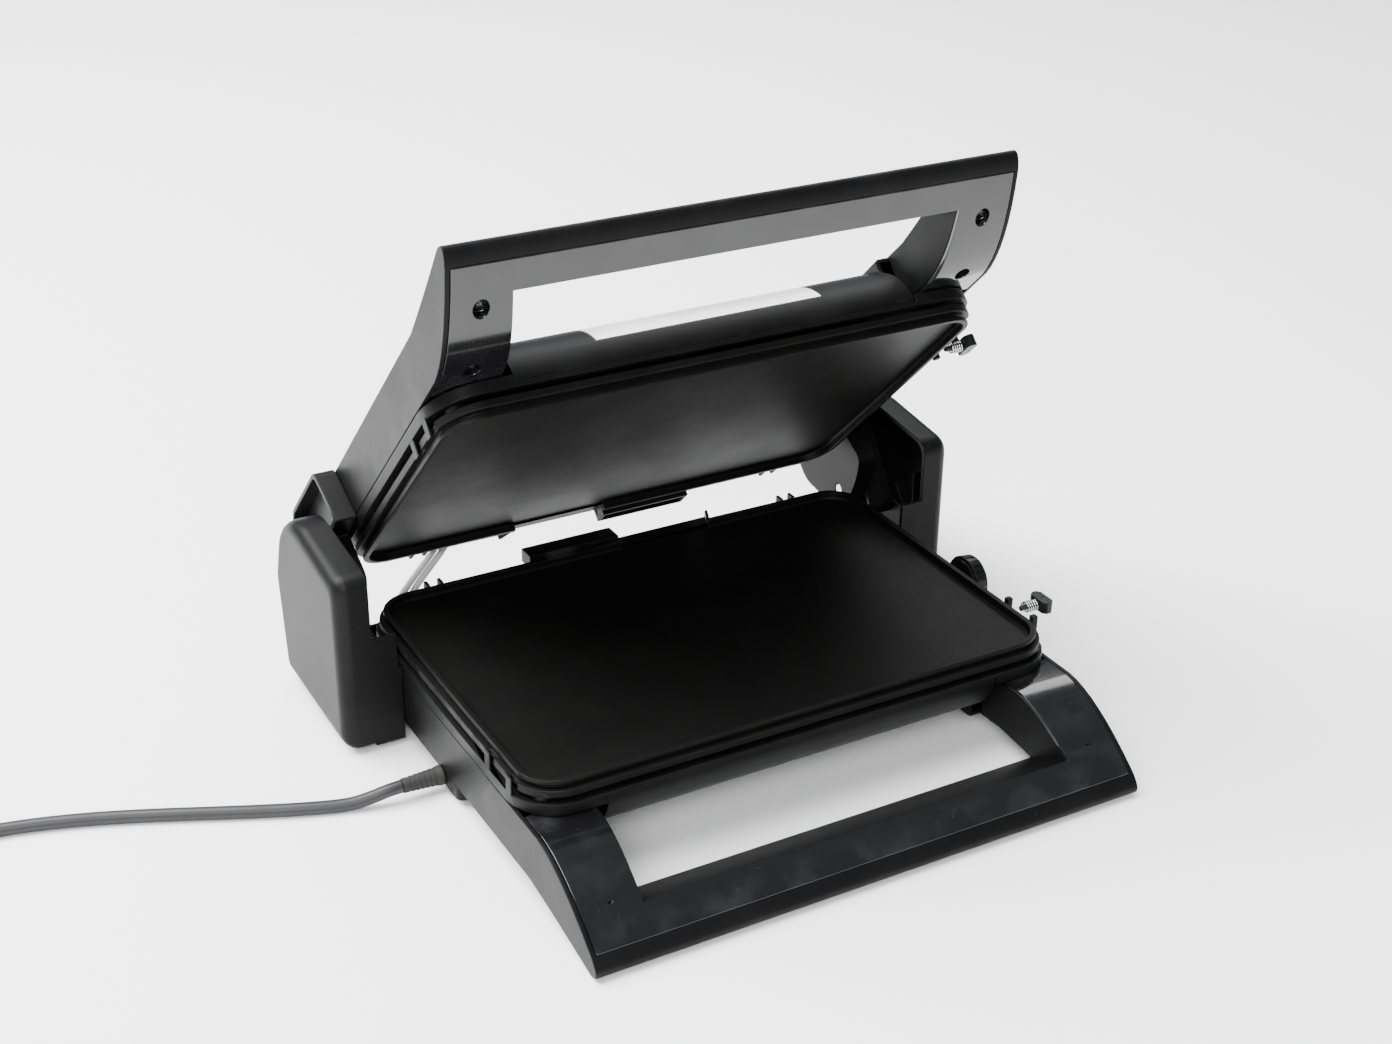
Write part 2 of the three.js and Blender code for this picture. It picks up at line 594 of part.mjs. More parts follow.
function shell(withInlaySeat, withFeet) {
  const inner = SIDE - WALL - GAP;
  const armSide = CURVE_START + 32 - GAP;
  const rear = BACK + WALL + GAP;
  const middle = prism(curvedBand(-WALL, 0, CURVE_TOP, rear), -CORNER_X + GAP, CORNER_X - GAP, SHELL_CURVE);
  const flanks = [-1, 1].flatMap((side) => {
    const wallX = CORNER_X - GAP;
    return [
      box([side * (wallX - 1), rear, BODY_DEPTH - WALL], [side * inner, armSide, BODY_DEPTH]),
      prism(
        polygon([
          [CURVE_START - 4, BODY_DEPTH - 1], [CURVE_START - 4, BODY_TOP + 12],
          [armSide, BODY_TOP + 12], [armSide, BODY_DEPTH - 1],
        ]),
        Math.min(side * wallX, side * (wallX - WALL)), Math.max(side * wallX, side * (wallX - WALL)),
      ),
    ];
  });
  const footBosses = withFeet
    ? REAR_FEET.map(([x, s]) => {
      const start = [x, s, BODY_DEPTH - 1];
      return cylinder('z', FOOT_RADIUS + 1, start, FOOT_BOSS.depth + 1, 20);
    })
    : [];
  const whole = join(middle, ...flanks, ...footBosses);
  const body = withFeet ? cut(whole, footBoss(-1, GAP), footBoss(1, GAP)) : whole;
  if (!withInlaySeat) return body;
  const seat = curvedBand(-INLAY.depth - GAP, 4, INLAY.start, INLAY.back);
  return cut(body, prism(seat, -INLAY.half - GAP, INLAY.half + GAP, SHELL_CURVE));
}

function inlay() {
  const band = curvedBand(-INLAY.depth, 0, INLAY.start + 0.5, INLAY.back + GAP);
  return prism(band, -INLAY.half, INLAY.half, SHELL_CURVE);
}

const REAR_FEET = [-1, 1].map((side) => [side * (HALF - 25), alongSide(20)]);

// ---------------------------------------------------------------- latch button and its spring

const SPRING_LENGTH = 8;
const BUTTON = { length: 15, width: 7, height: 7 };

function latchButton() {
  const block = prism(roundedPolygon([
    [-BUTTON.length / 2, -BUTTON.height / 2, 2], [BUTTON.length / 2, -BUTTON.height / 2, 2],
    [BUTTON.length / 2, BUTTON.height / 2, 2], [-BUTTON.length / 2, BUTTON.height / 2, 2],
  ]), 0, BUTTON.width, { curveSegments: 3 });
  return join(block, cylinder('x', STEM_RADIUS, [-STEM_LENGTH, 0, 0], STEM_LENGTH + 1, 12));
}
const SPRING_START = FLANGE_X + 2 * GAP + LATCH_THICK + GAP;
const BUTTON_X = SPRING_START + SPRING_LENGTH + GAP;
const STEM_LENGTH = BUTTON_X - BUTTON_TRAVEL - (HALF + RIM_WIDTH + 2 * GAP);

// Compression spring along x, from 0 to its length.
class Coil extends THREE.Curve {
  constructor(radius, length, turns) {
    super();
    Object.assign(this, { radius, length, turns });
  }

  getPoint(t, target = new THREE.Vector3()) {
    const angle = 2 * Math.PI * this.turns * t;
    return target.set(this.length * t, this.radius * Math.cos(angle), this.radius * Math.sin(angle));
  }
}

function buttonSpring() {
  const wire = 0.45;
  const helix = new Coil(2.9, SPRING_LENGTH - 2 * wire, 4.5);
  const spring = tube(null, wire, 32, 5, helix);
  return spring.translate([wire, 0, 0]);
}

// ---------------------------------------------------------------- one half

function addHalf(group, name, { latchSide, latchS, headsInCover, withFeet, withInlay }) {
  const work = screwWork(headsInCover);
  add(group, `${name}_grill_plate`, grillPlate(), NON_STICK);
  add(group, `${name}_heating_element`, heatingElement(), DARK_STEEL);
  add(group, `${name}_reflector_tray`, reflectorTray(), TRAY_STEEL);
  add(group, `${name}_bezel`, bezel(latchSide, latchS), MATT_BLACK);
  add(group, `${name}_side_frame`, sideFrame(work, headsInCover, withFeet), MATT_BLACK);
  add(group, `${name}_shell`, shell(withInlay, withFeet), MATT_BLACK);
  add(group, `${name}_handle_cover`, handleCover(work, headsInCover), GLOSS_BLACK);

  const thermostatMesh = add(group, `${name}_thermostat`, thermostat(), CREAM);
  thermostatMesh.position.set(0, COOK_DEPTH / 2, TRAY_BACK_N + GAP);
  const fuse = add(group, `${name}_thermal_fuse`, thermalFuse(), CREAM);
  fuse.position.set(30, COOK_DEPTH / 2, TRAY_BACK_N + 4);
  fuse.rotation.y = Math.PI / 2;

  work.forEach(({ x, s, seat }, i) => {
    const mesh = add(group, `${name}_handle_screw_${i + 1}`, screw(), BRIGHT_STEEL);
    const facing = headsInCover ? 1 : -1;
    mesh.position.set(x, s, seat - facing * (2.6 + GAP));
    if (!headsInCover) mesh.rotation.x = Math.PI;
  });

  const button = add(group, `${name}_release_button`, latchButton(), MATT_BLACK);
  const spring = add(group, `${name}_button_spring`, buttonSpring(), BRIGHT_STEEL);
  button.position.set(latchSide * BUTTON_X, latchS, LATCH_N);
  spring.position.set(latchSide * SPRING_START, latchS, LATCH_N);
  if (latchSide < 0) {
    button.rotation.z = Math.PI;
    spring.rotation.z = Math.PI;
  }
}

// ---------------------------------------------------------------- hinge

// Arm of the upper half, in its frame: a hood at the top and a lug round the pin.
function hingeArm(side) {
  const outline = roundedPolygon([
    [31, BODY_DEPTH + 2, 5], [44, BODY_TOP - 2.6, 1.5], [20, BODY_TOP - 3.6, 1.5], [28, -14, 5],
    [16, -23, 8], [PIVOT_S, PIVOT_N - 12, 7], [PIVOT_S - 14, PIVOT_N - 6, 7], [-42, 0, 6],
    [-42, BODY_DEPTH - 8, 4], [-30, BODY_DEPTH + 2, 4],
  ]);
  const pocket = roundedPolygon([
    [28.5, BODY_DEPTH - 0.5, 4], [40, BODY_TOP + 0.4, 1], [-39.5, BODY_TOP + 0.4, 1],
    [-39.5, BODY_DEPTH - 9, 3], [-28.8, BODY_DEPTH - 0.5, 3],
  ]);
  const [x0, x1] = [side * ARM_IN, side * ARM_OUT].sort((a, b) => a - b);
  const web = side * (ARM_IN + WALL);
  const [p0, p1] = [web, side * (ARM_OUT + 1)].sort((a, b) => a - b);
  const bore = cylinder('x', PIN_RADIUS + GAP, [x0 - 1, PIVOT_S, PIVOT_N], x1 - x0 + 2, 16);
  return cut(prism(outline, x0, x1), prism(pocket, p0, p1), bore);
}

const GUIDE_IN = ARM_OUT + 2.2;
const GUIDE_OUT = COVER_OUT - WALL - GAP;
const GUIDE_HALF = BLOCK_WIDTH / 2 + GAP;

// Slot outline along the pin's travel, grown by a margin.
function guideOutline(grow) {
  const along = new THREE.Vector2(Math.sin(SLIDE_LEAN), Math.cos(SLIDE_LEAN));
  const across = new THREE.Vector2(along.y, -along.x);
  const half = GUIDE_HALF + grow;
  const reach = BLOCK_LENGTH / 2 + GAP - GUIDE_HALF;
  const low = new THREE.Vector2(PIVOT_SHUT.y, PIVOT_SHUT.z).addScaledVector(along, -reach);
  const high = new THREE.Vector2(PIVOT_FLAT.y, PIVOT_FLAT.z).addScaledVector(along, reach);
  const turn = Math.atan2(across.y, across.x);
  const shape = new THREE.Shape();
  shape.absarc(low.x, low.y, half, turn + Math.PI, turn + 2 * Math.PI);
  shape.absarc(high.x, high.y, half, turn, turn + Math.PI);
  shape.closePath();
  return shape;
}

// Right-hand guide; the left one is its mirror image.
function hingeGuide() {
  const wall = prism(guideOutline(GUIDE_WALL), GUIDE_IN, GUIDE_OUT);
  const slot = prism(guideOutline(0), GUIDE_IN - 1, GUIDE_OUT - 2);
  const room = roundedCup(WALL + GAP, GUIDE_IN - 5, GUIDE_OUT);
  return cut(wall, slot).intersect(room);
}

function hingePin() {
  const length = GUIDE_OUT - 2 - GAP - SIDE - 2 * GAP;
  const end = PIN_RADIUS - PIN_CHAMFER;
  return turned([
    [0, 0], [end, 0], [PIN_RADIUS, PIN_CHAMFER],
    [PIN_RADIUS, length - PIN_CHAMFER], [end, length], [0, length],
  ], 16);
}

// Block on the pin that runs in the guide; its length lies along its own z.
function sliderBlock() {
  const width = GUIDE_OUT - 2 - GAP - GUIDE_IN;
  const outline = roundedRect(-BLOCK_WIDTH / 2, -BLOCK_LENGTH / 2, BLOCK_WIDTH / 2, BLOCK_LENGTH / 2, 4.6);
  const block = prism(outline, 0, width, { curveSegments: 3 });
  return cut(block, cylinder('x', PIN_RADIUS + GAP, [-1, 0, 0], width + 2, 16));
}

// ---------------------------------------------------------------- side cover

const COVER_LOW = -57;
const EDGE_STEPS = 4;
const COVER_FRONT_Y = HALF_DEPTH_Y - 50.7;
const COVER_STEP = { top: 8, bottom: -13, reach: 2.2 };

function coverProfile(inset) {
  const tighten = 1 - (0.35 * inset) / COVER_ROUND;
  return roundedPolygon([
    [COVER_FRONT_Y + inset, COVER_LOW + inset, 4], [COVER_FRONT_Y + inset, 45 - inset, 9],
    [HALF_DEPTH_Y + 18, 53 - inset, 14], [HALF_DEPTH_Y + 41 - inset, 38 - 0.4 * inset, 12],
    [HALF_DEPTH_Y + 52 - inset, 5, 6], [HALF_DEPTH_Y + 45 - inset, COVER_LOW + 3 + inset, 5],
  ].map(([y, z, radius]) => [y, z, radius * tighten]));
}

// Cup whose outline closes in round its outer edge.
function roundedCup(inset, x0, x1) {
  const rings = [{ x: x0, inset }];
  for (let i = 0; i <= EDGE_STEPS; i += 1) {
    const angle = (i / EDGE_STEPS) * (Math.PI / 2);
    rings.push({
      x: x1 - COVER_ROUND * (1 - Math.sin(angle)),
      inset: inset + COVER_ROUND * (1 - Math.cos(angle)),
    });
  }
  return loft(rings.map((ring) => {
    const outline = coverProfile(ring.inset).getPoints(4);
    return outline.map((p) => new THREE.Vector3(ring.x, p.x, p.y));
  }));
}

// Right-hand cover; the left one is its mirror image.
function sideCover() {
  const outer = roundedCup(0, COVER_IN, COVER_OUT);
  const inner = roundedCup(WALL, COVER_IN - 1, COVER_OUT - WALL);
  const cup = cut(outer, inner);

  const stepX = SIDE + COVER_STEP.reach;
  const nearX = SIDE + GAP;
  const y0 = COVER_FRONT_Y;
  const y1 = COVER_FRONT_Y + WALL;
  const frontHigh = box([stepX, y0, COVER_STEP.bottom - 1], [COVER_IN + 1, y1, COVER_STEP.top]);
  const frontLow = box([nearX, y0, COVER_LOW + 1], [COVER_IN + 1, y1, COVER_STEP.bottom]);
  const floor = box([nearX, y0, COVER_LOW], [COVER_IN + 1, y1 + 36, COVER_LOW + WALL]);
  const web = box([nearX, y0, COVER_LOW], [nearX + WALL, y1 + 36, -24]);
  return join(cup, frontHigh, frontLow, floor, web);
}

// ---------------------------------------------------------------- knob, feet, terminal block

const KNOB = { s: 115, n: 11, radius: 14.5, height: 9.5 };

function knob() {
  const { radius, height } = KNOB;
  const cap = turned([
    [0, 0], [radius - 2, 0], [radius - 2, 1.5], [radius, 1.5], [radius - 0.6, height - 1.5],
    [radius - 2.4, height], [0, height],
  ], 24);
  const grip = box([-1.6, -radius + 3, height - 1], [1.6, radius - 3, height + 2]);
  return join(cap, grip);
}

function foot() {
  return turned([
    [0, 0], [FOOT_RADIUS - 1, 0], [FOOT_RADIUS, 1], [FOOT_RADIUS, FOOT_HEIGHT], [0, FOOT_HEIGHT],
  ], 20);
}

const TERMINAL_FREE = 5.2;       // terminal block to the inside of the shell's back
const TERMINAL_N = TRAY_BACK_N + 6;
const TERMINAL_HEIGHT = BODY_DEPTH - WALL - TERMINAL_FREE - TERMINAL_N;

function terminalBlock() {
  const body = box([0, 0, 0], [24, 16, TERMINAL_HEIGHT]);
  const half = TERMINAL_HEIGHT / 2;
  const wells = [5, 12, 19].map((x) => cylinder('z', 2, [x, 8, half + 1], half, 10));
  return cut(body, ...wells);
}

// ---------------------------------------------------------------- leads between the halves

const LEAD_RADIUS = 2;

function lead(points) {
  return tube(points.map((p) => new THREE.Vector3(...p)), LEAD_RADIUS, 8, 8);
}

// ---------------------------------------------------------------- mains cord

const GLAND = { y: 0, z: -51.5, length: 22 };

function gland() {
  return turned([[0, 0], [5.4, 0], [5.4, 2], [4.8, 3], [3.9, GLAND.length], [0, GLAND.length]], 16);
}

const CORD_ROUTE = [
  [-180.7, 0, -51.5], [-188, 0.4, -52.2], [-197, 1.6, -54.2], [-206, 3.6, -56], [-216, 6.6, -56.5],
  [-232, 12.5, -56.5], [-252, 21, -56.5], [-274, 31, -56.5], [-298, 42, -56.5], [-322, 52, -56.5],
  [-346, 60.3, -56.5], [-368, 65.8, -56.5], [-390, 69, -56.5], [-414, 70, -56.5],
];
const TAIL_ROUTE = [
  [-478.4, 139, -48], [-478.3, 146, -45.6], [-478.1, 154, -42.8], [-478, 162, -41.2], [-478, 170, -41],
];

const cordTube = (route, steps) =>
  tube(route.map((p) => new THREE.Vector3(...p)), CORD_DIAMETER / 2, steps, 10);

// The unseen length lies in a round coil: two turns on the table and one on top of them.
const COIL = { x: -440, y: 112, lift: 0.8 };
const COIL_RADII = { inner: 31, outer: 46, mean: 38.5 };
const COIL_HEIGHT = 14;

function coilRing() {
  const { inner, outer, mean } = COIL_RADII;
  const half = CORD_DIAMETER / 2 + GAP;
  const section = [
    [inner + 1, COIL.lift], [outer - 1, COIL.lift], [outer, half], [outer - 1, 8],
    [mean + half, COIL_HEIGHT], [mean - half, COIL_HEIGHT], [inner + 1, 8], [inner, half],
    [inner + 1, COIL.lift],
  ].map(([r, z]) => new THREE.Vector2(r, z));
  const ring = new THREE.LatheGeometry(section, 32);
  ring.rotateX(Math.PI / 2);
  return solid(ring);
}

function powerPlug() {
  const body = turned([
    [0, 0], [4.6, 0], [5.6, 14], [9, 20], [18, 26], [19, 30], [19, 38], [18.2, 39], [0, 39],
  ], 20);
  const pins = [-9.5, 9.5].map((x) => cylinder('z', 2.4, [x, 0, 38], 20, 12));
  return join(body, ...pins);
}

// Strap round the coil's turns.
function cordTie() {
  const { inner, outer, mean } = COIL_RADII;
  const thick = 0.6;
  const low = 0.05;
  const high = COIL_HEIGHT + GAP + thick;
  const strap = polygon([
    [inner - 1, low], [outer + 1, low], [outer + 1, 8],
    [mean + 5.5, high], [mean - 5.5, high], [inner - 1, 8],
  ]);
  const room = polygon([
    [inner - 0.4, low + thick], [outer + 0.4, low + thick], [outer + 0.4, 7.8],
    [mean + 5.1, high - thick], [mean - 5.1, high - thick], [inner - 0.4, 7.8],
  ]);
  const band = (shape, y0, y1) => {
    const geometry = new THREE.ExtrudeGeometry(shape, { depth: y1 - y0, bevelEnabled: false });
    geometry.rotateX(Math.PI / 2);
    geometry.translate(0, y1, 0);
    return solid(geometry);
  };
  return cut(band(strap, -2.5, 2.5), band(room, -3.5, 3.5));
}

// ---------------------------------------------------------------- assembly

const press = new THREE.Group();
press.name = 'panini_press';
const model = new THREE.Group();
press.add(model);

const lower = new THREE.Group();
lower.rotation.x = Math.PI;
lower.position.y = HALF_DEPTH_Y;
model.add(lower);
addHalf(lower, 'lower', {
  latchSide: 1, latchS: alongSide(170), headsInCover: false, withFeet: true, withInlay: false,
});

const knobMesh = add(lower, 'thermostat_knob', knob(), MATT_BLACK);
knobMesh.position.set(SIDE + GAP, alongSide(KNOB.s), KNOB.n);
knobMesh.rotation.y = Math.PI / 2;

const footPlaces = [
  ...[-1, 1].map((side) => [side * (SIDE - FOOT_RADIUS - 1.5), FOOT_BOSS.s]),
  ...REAR_FEET,
];
footPlaces.forEach(([x, s], i) => {
  const mesh = add(lower, `rubber_foot_${i + 1}`, foot(), RUBBER);
  mesh.position.set(x, s, -TABLE_Z);
  mesh.rotation.x = Math.PI;
});

const block = add(lower, 'terminal_block', terminalBlock(), CREAM);
block.position.set(-HALF + 10, alongSide(88), TERMINAL_N);

const upperPivot = new THREE.Group();
upperPivot.position.set(0, PIVOT_REST.y, PIVOT_REST.z);
upperPivot.rotation.x = -OPEN_ANGLE;
model.add(upperPivot);
const upper = new THREE.Group();
upper.position.set(0, PIVOT_S, -PIVOT_N);
upper.rotation.z = Math.PI;
upperPivot.add(upper);
addHalf(upper, 'upper', {
  latchSide: -1, latchS: alongSide(154), headsInCover: true, withFeet: false, withInlay: true,
});
add(upper, 'upper_shell_inlay', inlay(), BRIGHT_STEEL);

const SIDES = [['left', -1], ['right', 1]];
SIDES.forEach(([word, side]) => {
  add(upper, `hinge_arm_${word}`, hingeArm(-side), MATT_BLACK);

  const pin = add(model, `hinge_pin_${word}`, hingePin(), BRIGHT_STEEL);
  pin.position.set(side * (SIDE + 2 * GAP), PIVOT_REST.y, PIVOT_REST.z);
  pin.rotation.y = (side * Math.PI) / 2;

  const slider = add(model, `slider_block_${word}`, sliderBlock(), CREAM);
  slider.position.set(side > 0 ? GUIDE_IN : -GUIDE_OUT + 2 + GAP, PIVOT_REST.y, PIVOT_REST.z);
  slider.rotation.x = -SLIDE_LEAN;

  const handed = (body) => (side > 0 ? body : body.mirror([1, 0, 0]));
  add(model, `hinge_guide_${word}`, handed(hingeGuide()), MATT_BLACK);
  add(model, `side_cover_${word}`, handed(sideCover()), MATT_BLACK);
});

// Two sleeved leads cross from half to half behind the plates. Each is split at the height of the
// hinge pins, because its two lengths follow different bodies.
const LEAD_PITCH = 6.5;
const LEAD_LEAN = 56;            // sideways run of a lead, up to the upper half
const LEAD_MEET = { x: 19, y: 3, z: -15.5 };
const toUpper = upperMatrix();
[0, 1].forEach((i) => {
  const mx = -SIDE + LEAD_MEET.x + LEAD_PITCH * i;
  const my = PIVOT_REST.y + LEAD_MEET.y;
  const mz = PIVOT_REST.z + LEAD_MEET.z;
  const rearY = HALF_DEPTH_Y + BEZEL_REACH + GAP;
  add(model, `lower_lead_${i + 1}`, lead([
    [mx - 7, rearY + 0.2, mz - 12], [mx - 6.6, rearY + 3.5, mz - 11.5],
    [mx - 2, my - 0.8, mz - 5], [mx - 0.6, my - 0.2, mz - 2 * GAP],
  ]), SLEEVE);
  const entryX = -mx - LEAD_LEAN;
  const behind = (x, out, n) => new THREE.Vector3(x, BACK - out, n).applyMatrix4(toUpper).toArray();
  add(model, `upper_lead_${i + 1}`, lead([
    [mx + 0.6, my + 0.3, mz + 2 * GAP], [mx + 14, my + 9, mz + 12],
    [mx + LEAD_LEAN - 17, my + 21.5, mz + 28],
    behind(entryX + 3, 6.5, 23), behind(entryX, 3 * GAP, 24),
  ]), SLEEVE);
});

function upperMatrix() {
  model.updateMatrixWorld(true);
  return upper.matrixWorld;
}

const cord = new THREE.Group();
model.add(cord);
const glandMesh = add(model, 'cord_gland', gland(), RUBBER);
glandMesh.position.set(-SIDE - GAP, GLAND.y, GLAND.z);
glandMesh.rotation.y = -Math.PI / 2;
add(cord, 'cord_run', cordTube(CORD_ROUTE, 26), CORD_BLACK);
const ring = add(cord, 'cord_coil', coilRing(), CORD_BLACK);
ring.position.set(COIL.x, COIL.y, TABLE_Z);
const tie = add(cord, 'cord_tie', cordTie(), MATT_BLACK);
tie.position.set(COIL.x, COIL.y, TABLE_Z);
const plug = add(cord, 'power_plug', powerPlug(), CORD_BLACK);
plug.position.set(...TAIL_ROUTE.at(-1));
plug.position.y += GAP;
plug.rotation.x = -Math.PI / 2;
add(cord, 'cord_tail', cordTube(TAIL_ROUTE, 6), CORD_BLACK);

// Stand the press on the table, with its footprint's middle at the origin. The cord doesn't count.
model.remove(cord);
model.updateMatrixWorld(true);
const bounds = new THREE.Box3().setFromObject(model, true);
const middle = bounds.getCenter(new THREE.Vector3());
model.position.set(-middle.x, -middle.y, -bounds.min.z);
model.add(cord);

export default press;
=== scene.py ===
"""The looks of a contact grill (panini press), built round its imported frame. Metres throughout."""

import json
import math

import bpy
from mathutils import Matrix, Vector

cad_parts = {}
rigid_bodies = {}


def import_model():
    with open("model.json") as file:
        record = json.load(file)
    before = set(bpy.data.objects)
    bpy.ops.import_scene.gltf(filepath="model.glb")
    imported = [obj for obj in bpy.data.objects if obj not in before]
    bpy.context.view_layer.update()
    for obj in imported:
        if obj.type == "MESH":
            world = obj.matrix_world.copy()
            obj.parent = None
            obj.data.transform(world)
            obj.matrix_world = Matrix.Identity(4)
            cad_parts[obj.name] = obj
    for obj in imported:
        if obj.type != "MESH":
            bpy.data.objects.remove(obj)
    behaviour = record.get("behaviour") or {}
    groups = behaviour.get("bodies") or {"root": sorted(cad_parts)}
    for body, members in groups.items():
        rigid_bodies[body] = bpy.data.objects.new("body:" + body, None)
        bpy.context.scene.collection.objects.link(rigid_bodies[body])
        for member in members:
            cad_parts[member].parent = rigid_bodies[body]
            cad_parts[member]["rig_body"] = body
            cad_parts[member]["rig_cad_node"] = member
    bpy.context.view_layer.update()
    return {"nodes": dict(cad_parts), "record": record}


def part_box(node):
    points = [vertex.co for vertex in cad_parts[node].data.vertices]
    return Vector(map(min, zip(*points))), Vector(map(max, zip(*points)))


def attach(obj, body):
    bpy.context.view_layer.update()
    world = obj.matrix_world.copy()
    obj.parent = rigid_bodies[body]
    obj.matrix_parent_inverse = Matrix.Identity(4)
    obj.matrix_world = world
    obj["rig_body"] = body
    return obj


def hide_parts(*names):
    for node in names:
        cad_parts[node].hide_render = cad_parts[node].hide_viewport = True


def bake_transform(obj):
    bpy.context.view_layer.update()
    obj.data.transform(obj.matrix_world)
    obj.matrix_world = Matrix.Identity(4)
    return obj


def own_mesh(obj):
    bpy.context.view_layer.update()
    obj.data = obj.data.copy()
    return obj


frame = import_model()
nodes = frame["nodes"]

MM = 0.001
TABLE_SHIFT = Vector((0.0, -0.001244165, 0.060))   # from the lower rim's frame to the table's


# ------------------------------------------------------------------ camera

AZIMUTH, ELEVATION, ROLL = math.radians(-29.48), math.radians(27.17), math.radians(0.71)
CAMERA_AT = Vector((-0.4855, -0.845744, 0.6181))

back = Vector((
    math.sin(AZIMUTH) * math.cos(ELEVATION),
    -math.cos(AZIMUTH) * math.cos(ELEVATION),
    math.sin(ELEVATION),
))
level_right = (-back).cross(Vector((0, 0, 1))).normalized()
level_up = level_right.cross(-back)
right = level_right * math.cos(ROLL) + level_up * math.sin(ROLL)
up = level_up * math.cos(ROLL) - level_right * math.sin(ROLL)
turn = Matrix((right, up, back)).transposed()

camera_data = bpy.data.cameras.new("camera")
camera_data.lens = 53.46
camera_data.sensor_width = 36
camera_data.clip_start, camera_data.clip_end = 0.01, 20
camera = bpy.data.objects.new("camera", camera_data)
bpy.context.collection.objects.link(camera)
camera.location = CAMERA_AT
camera.rotation_mode = "QUATERNION"
camera.rotation_quaternion = turn.to_quaternion()
bpy.context.scene.camera = camera


# ------------------------------------------------------------------ cord

CORD_RADIUS = 0.0035
CORD_ROUTE = [
    (-180.7, 0, -51.5), (-188, 0.4, -52.2), (-197, 1.6, -54.2), (-206, 3.6, -56), (-216, 6.6, -56.5),
    (-232, 12.5, -56.5), (-252, 21, -56.5), (-274, 31, -56.5), (-298, 42, -56.5), (-322, 52, -56.5),
    (-346, 60.3, -56.5), (-368, 65.8, -56.5), (-390, 69, -56.5), (-414, 70, -56.5),
]
COIL_CENTRE, COIL_RADIUS = (-440, 112), 42
ON_THE_TABLE = -56.5                     # height of the line of a cord that lies on the table
SECOND_TURN_IN, THIRD_TURN_OUT = 7, 3.5
THIRD_TURN_UP, LAST_TURN_UP = 6.7, 7.1
TAIL_ROUTE = [(-478.4, 127, -42.3), (-478.3, 142, -41.5), (-478, 156, -41.1), (-478, 170, -41)]


def smooth(share):
    share = max(0.0, min(1.0, share))
    return share * share * (3 - 2 * share)


def coil_points():
    """Two turns on the table, one on top of them, and a quarter turn that climbs over its own start."""
    points = []
    for degrees in range(0, 1171, 15):
        angle = math.radians(-90 - degrees)
        inward = smooth((degrees - 300) / 80)
        climb = smooth((degrees - 720) / 70)
        hump = smooth((degrees - 1070) / 90)
        radius = COIL_RADIUS - SECOND_TURN_IN * inward + THIRD_TURN_OUT * climb
        height = ON_THE_TABLE + THIRD_TURN_UP * climb + LAST_TURN_UP * hump
        points.append((
            COIL_CENTRE[0] + radius * math.cos(angle),
            COIL_CENTRE[1] + radius * math.sin(angle),
            height,
        ))
    return points


def through(points, steps):
    """Points of a smooth curve through the given ones."""
    found = []
    for i in range(len(points) - 1):
        before = points[max(i - 1, 0)]
        start, end = points[i], points[i + 1]
        after = points[min(i + 2, len(points) - 1)]
        for step in range(steps):
            t = step / steps
            found.append(
                0.5 * ((2 * start) + (end - before) * t
                       + (2 * before - 5 * start + 4 * end - after) * t * t
                       + (3 * start - before - 3 * end + after) * t ** 3)
            )
    found.append(points[-1])
    return found


def placed(points):
    return [Vector(p) * MM + TABLE_SHIFT for p in points]


cord_line = through(placed(CORD_ROUTE + coil_points() + TAIL_ROUTE), 3)


def round_curve(name, line, radius, resolution=4):
    data = bpy.data.curves.new(name, "CURVE")
    data.dimensions = "3D"
    data.bevel_depth = radius
    data.bevel_resolution = resolution
    data.use_fill_caps = True
    spline = data.splines.new("POLY")
    spline.points.add(len(line) - 1)
    for point, place in zip(spline.points, line):
        point.co = (*place, 1)
    spline.use_smooth = True
    curve = bpy.data.objects.new(name, data)
    bpy.context.collection.objects.link(curve)
    return curve


# ------------------------------------------------------------------ shared shader groups

def new_group(name, inputs, outputs):
    group = bpy.data.node_groups.new(name, "ShaderNodeTree")
    for label, kind, value in inputs:
        socket = group.interface.new_socket(label, in_out="INPUT", socket_type=kind)
        if value is not None:
            socket.default_value = value
    for label, kind in outputs:
        group.interface.new_socket(label, in_out="OUTPUT", socket_type=kind)
    return group, group.nodes.new("NodeGroupInput"), group.nodes.new("NodeGroupOutput")


def maths(tree, operation, a, b=None, clamp=False):
    node = tree.nodes.new("ShaderNodeMath")
    node.operation = operation
    node.use_clamp = clamp
    for socket, value in zip(node.inputs, (a, b)):
        if value is None:
            continue
        if isinstance(value, (int, float)):
            socket.default_value = value
        else:
            tree.links.new(value, socket)
    return node.outputs[0]


def noise(tree, vector, scale, detail=4.0, roughness=0.5):
    node = tree.nodes.new("ShaderNodeTexNoise")
    node.inputs["Detail"].default_value = detail
    node.inputs["Roughness"].default_value = roughness
    if isinstance(scale, (int, float)):
        node.inputs["Scale"].default_value = scale
    else:
        tree.links.new(scale, node.inputs["Scale"])
    tree.links.new(vector, node.inputs["Vector"])
    return node.outputs["Fac"]


def ramp(tree, value, low, high):
    node = tree.nodes.new("ShaderNodeMapRange")
    node.interpolation_type = "SMOOTHSTEP"
    node.inputs["From Min"].default_value = low
    node.inputs["From Max"].default_value = high
    tree.links.new(value, node.inputs["Value"])
    return node.outputs["Result"]


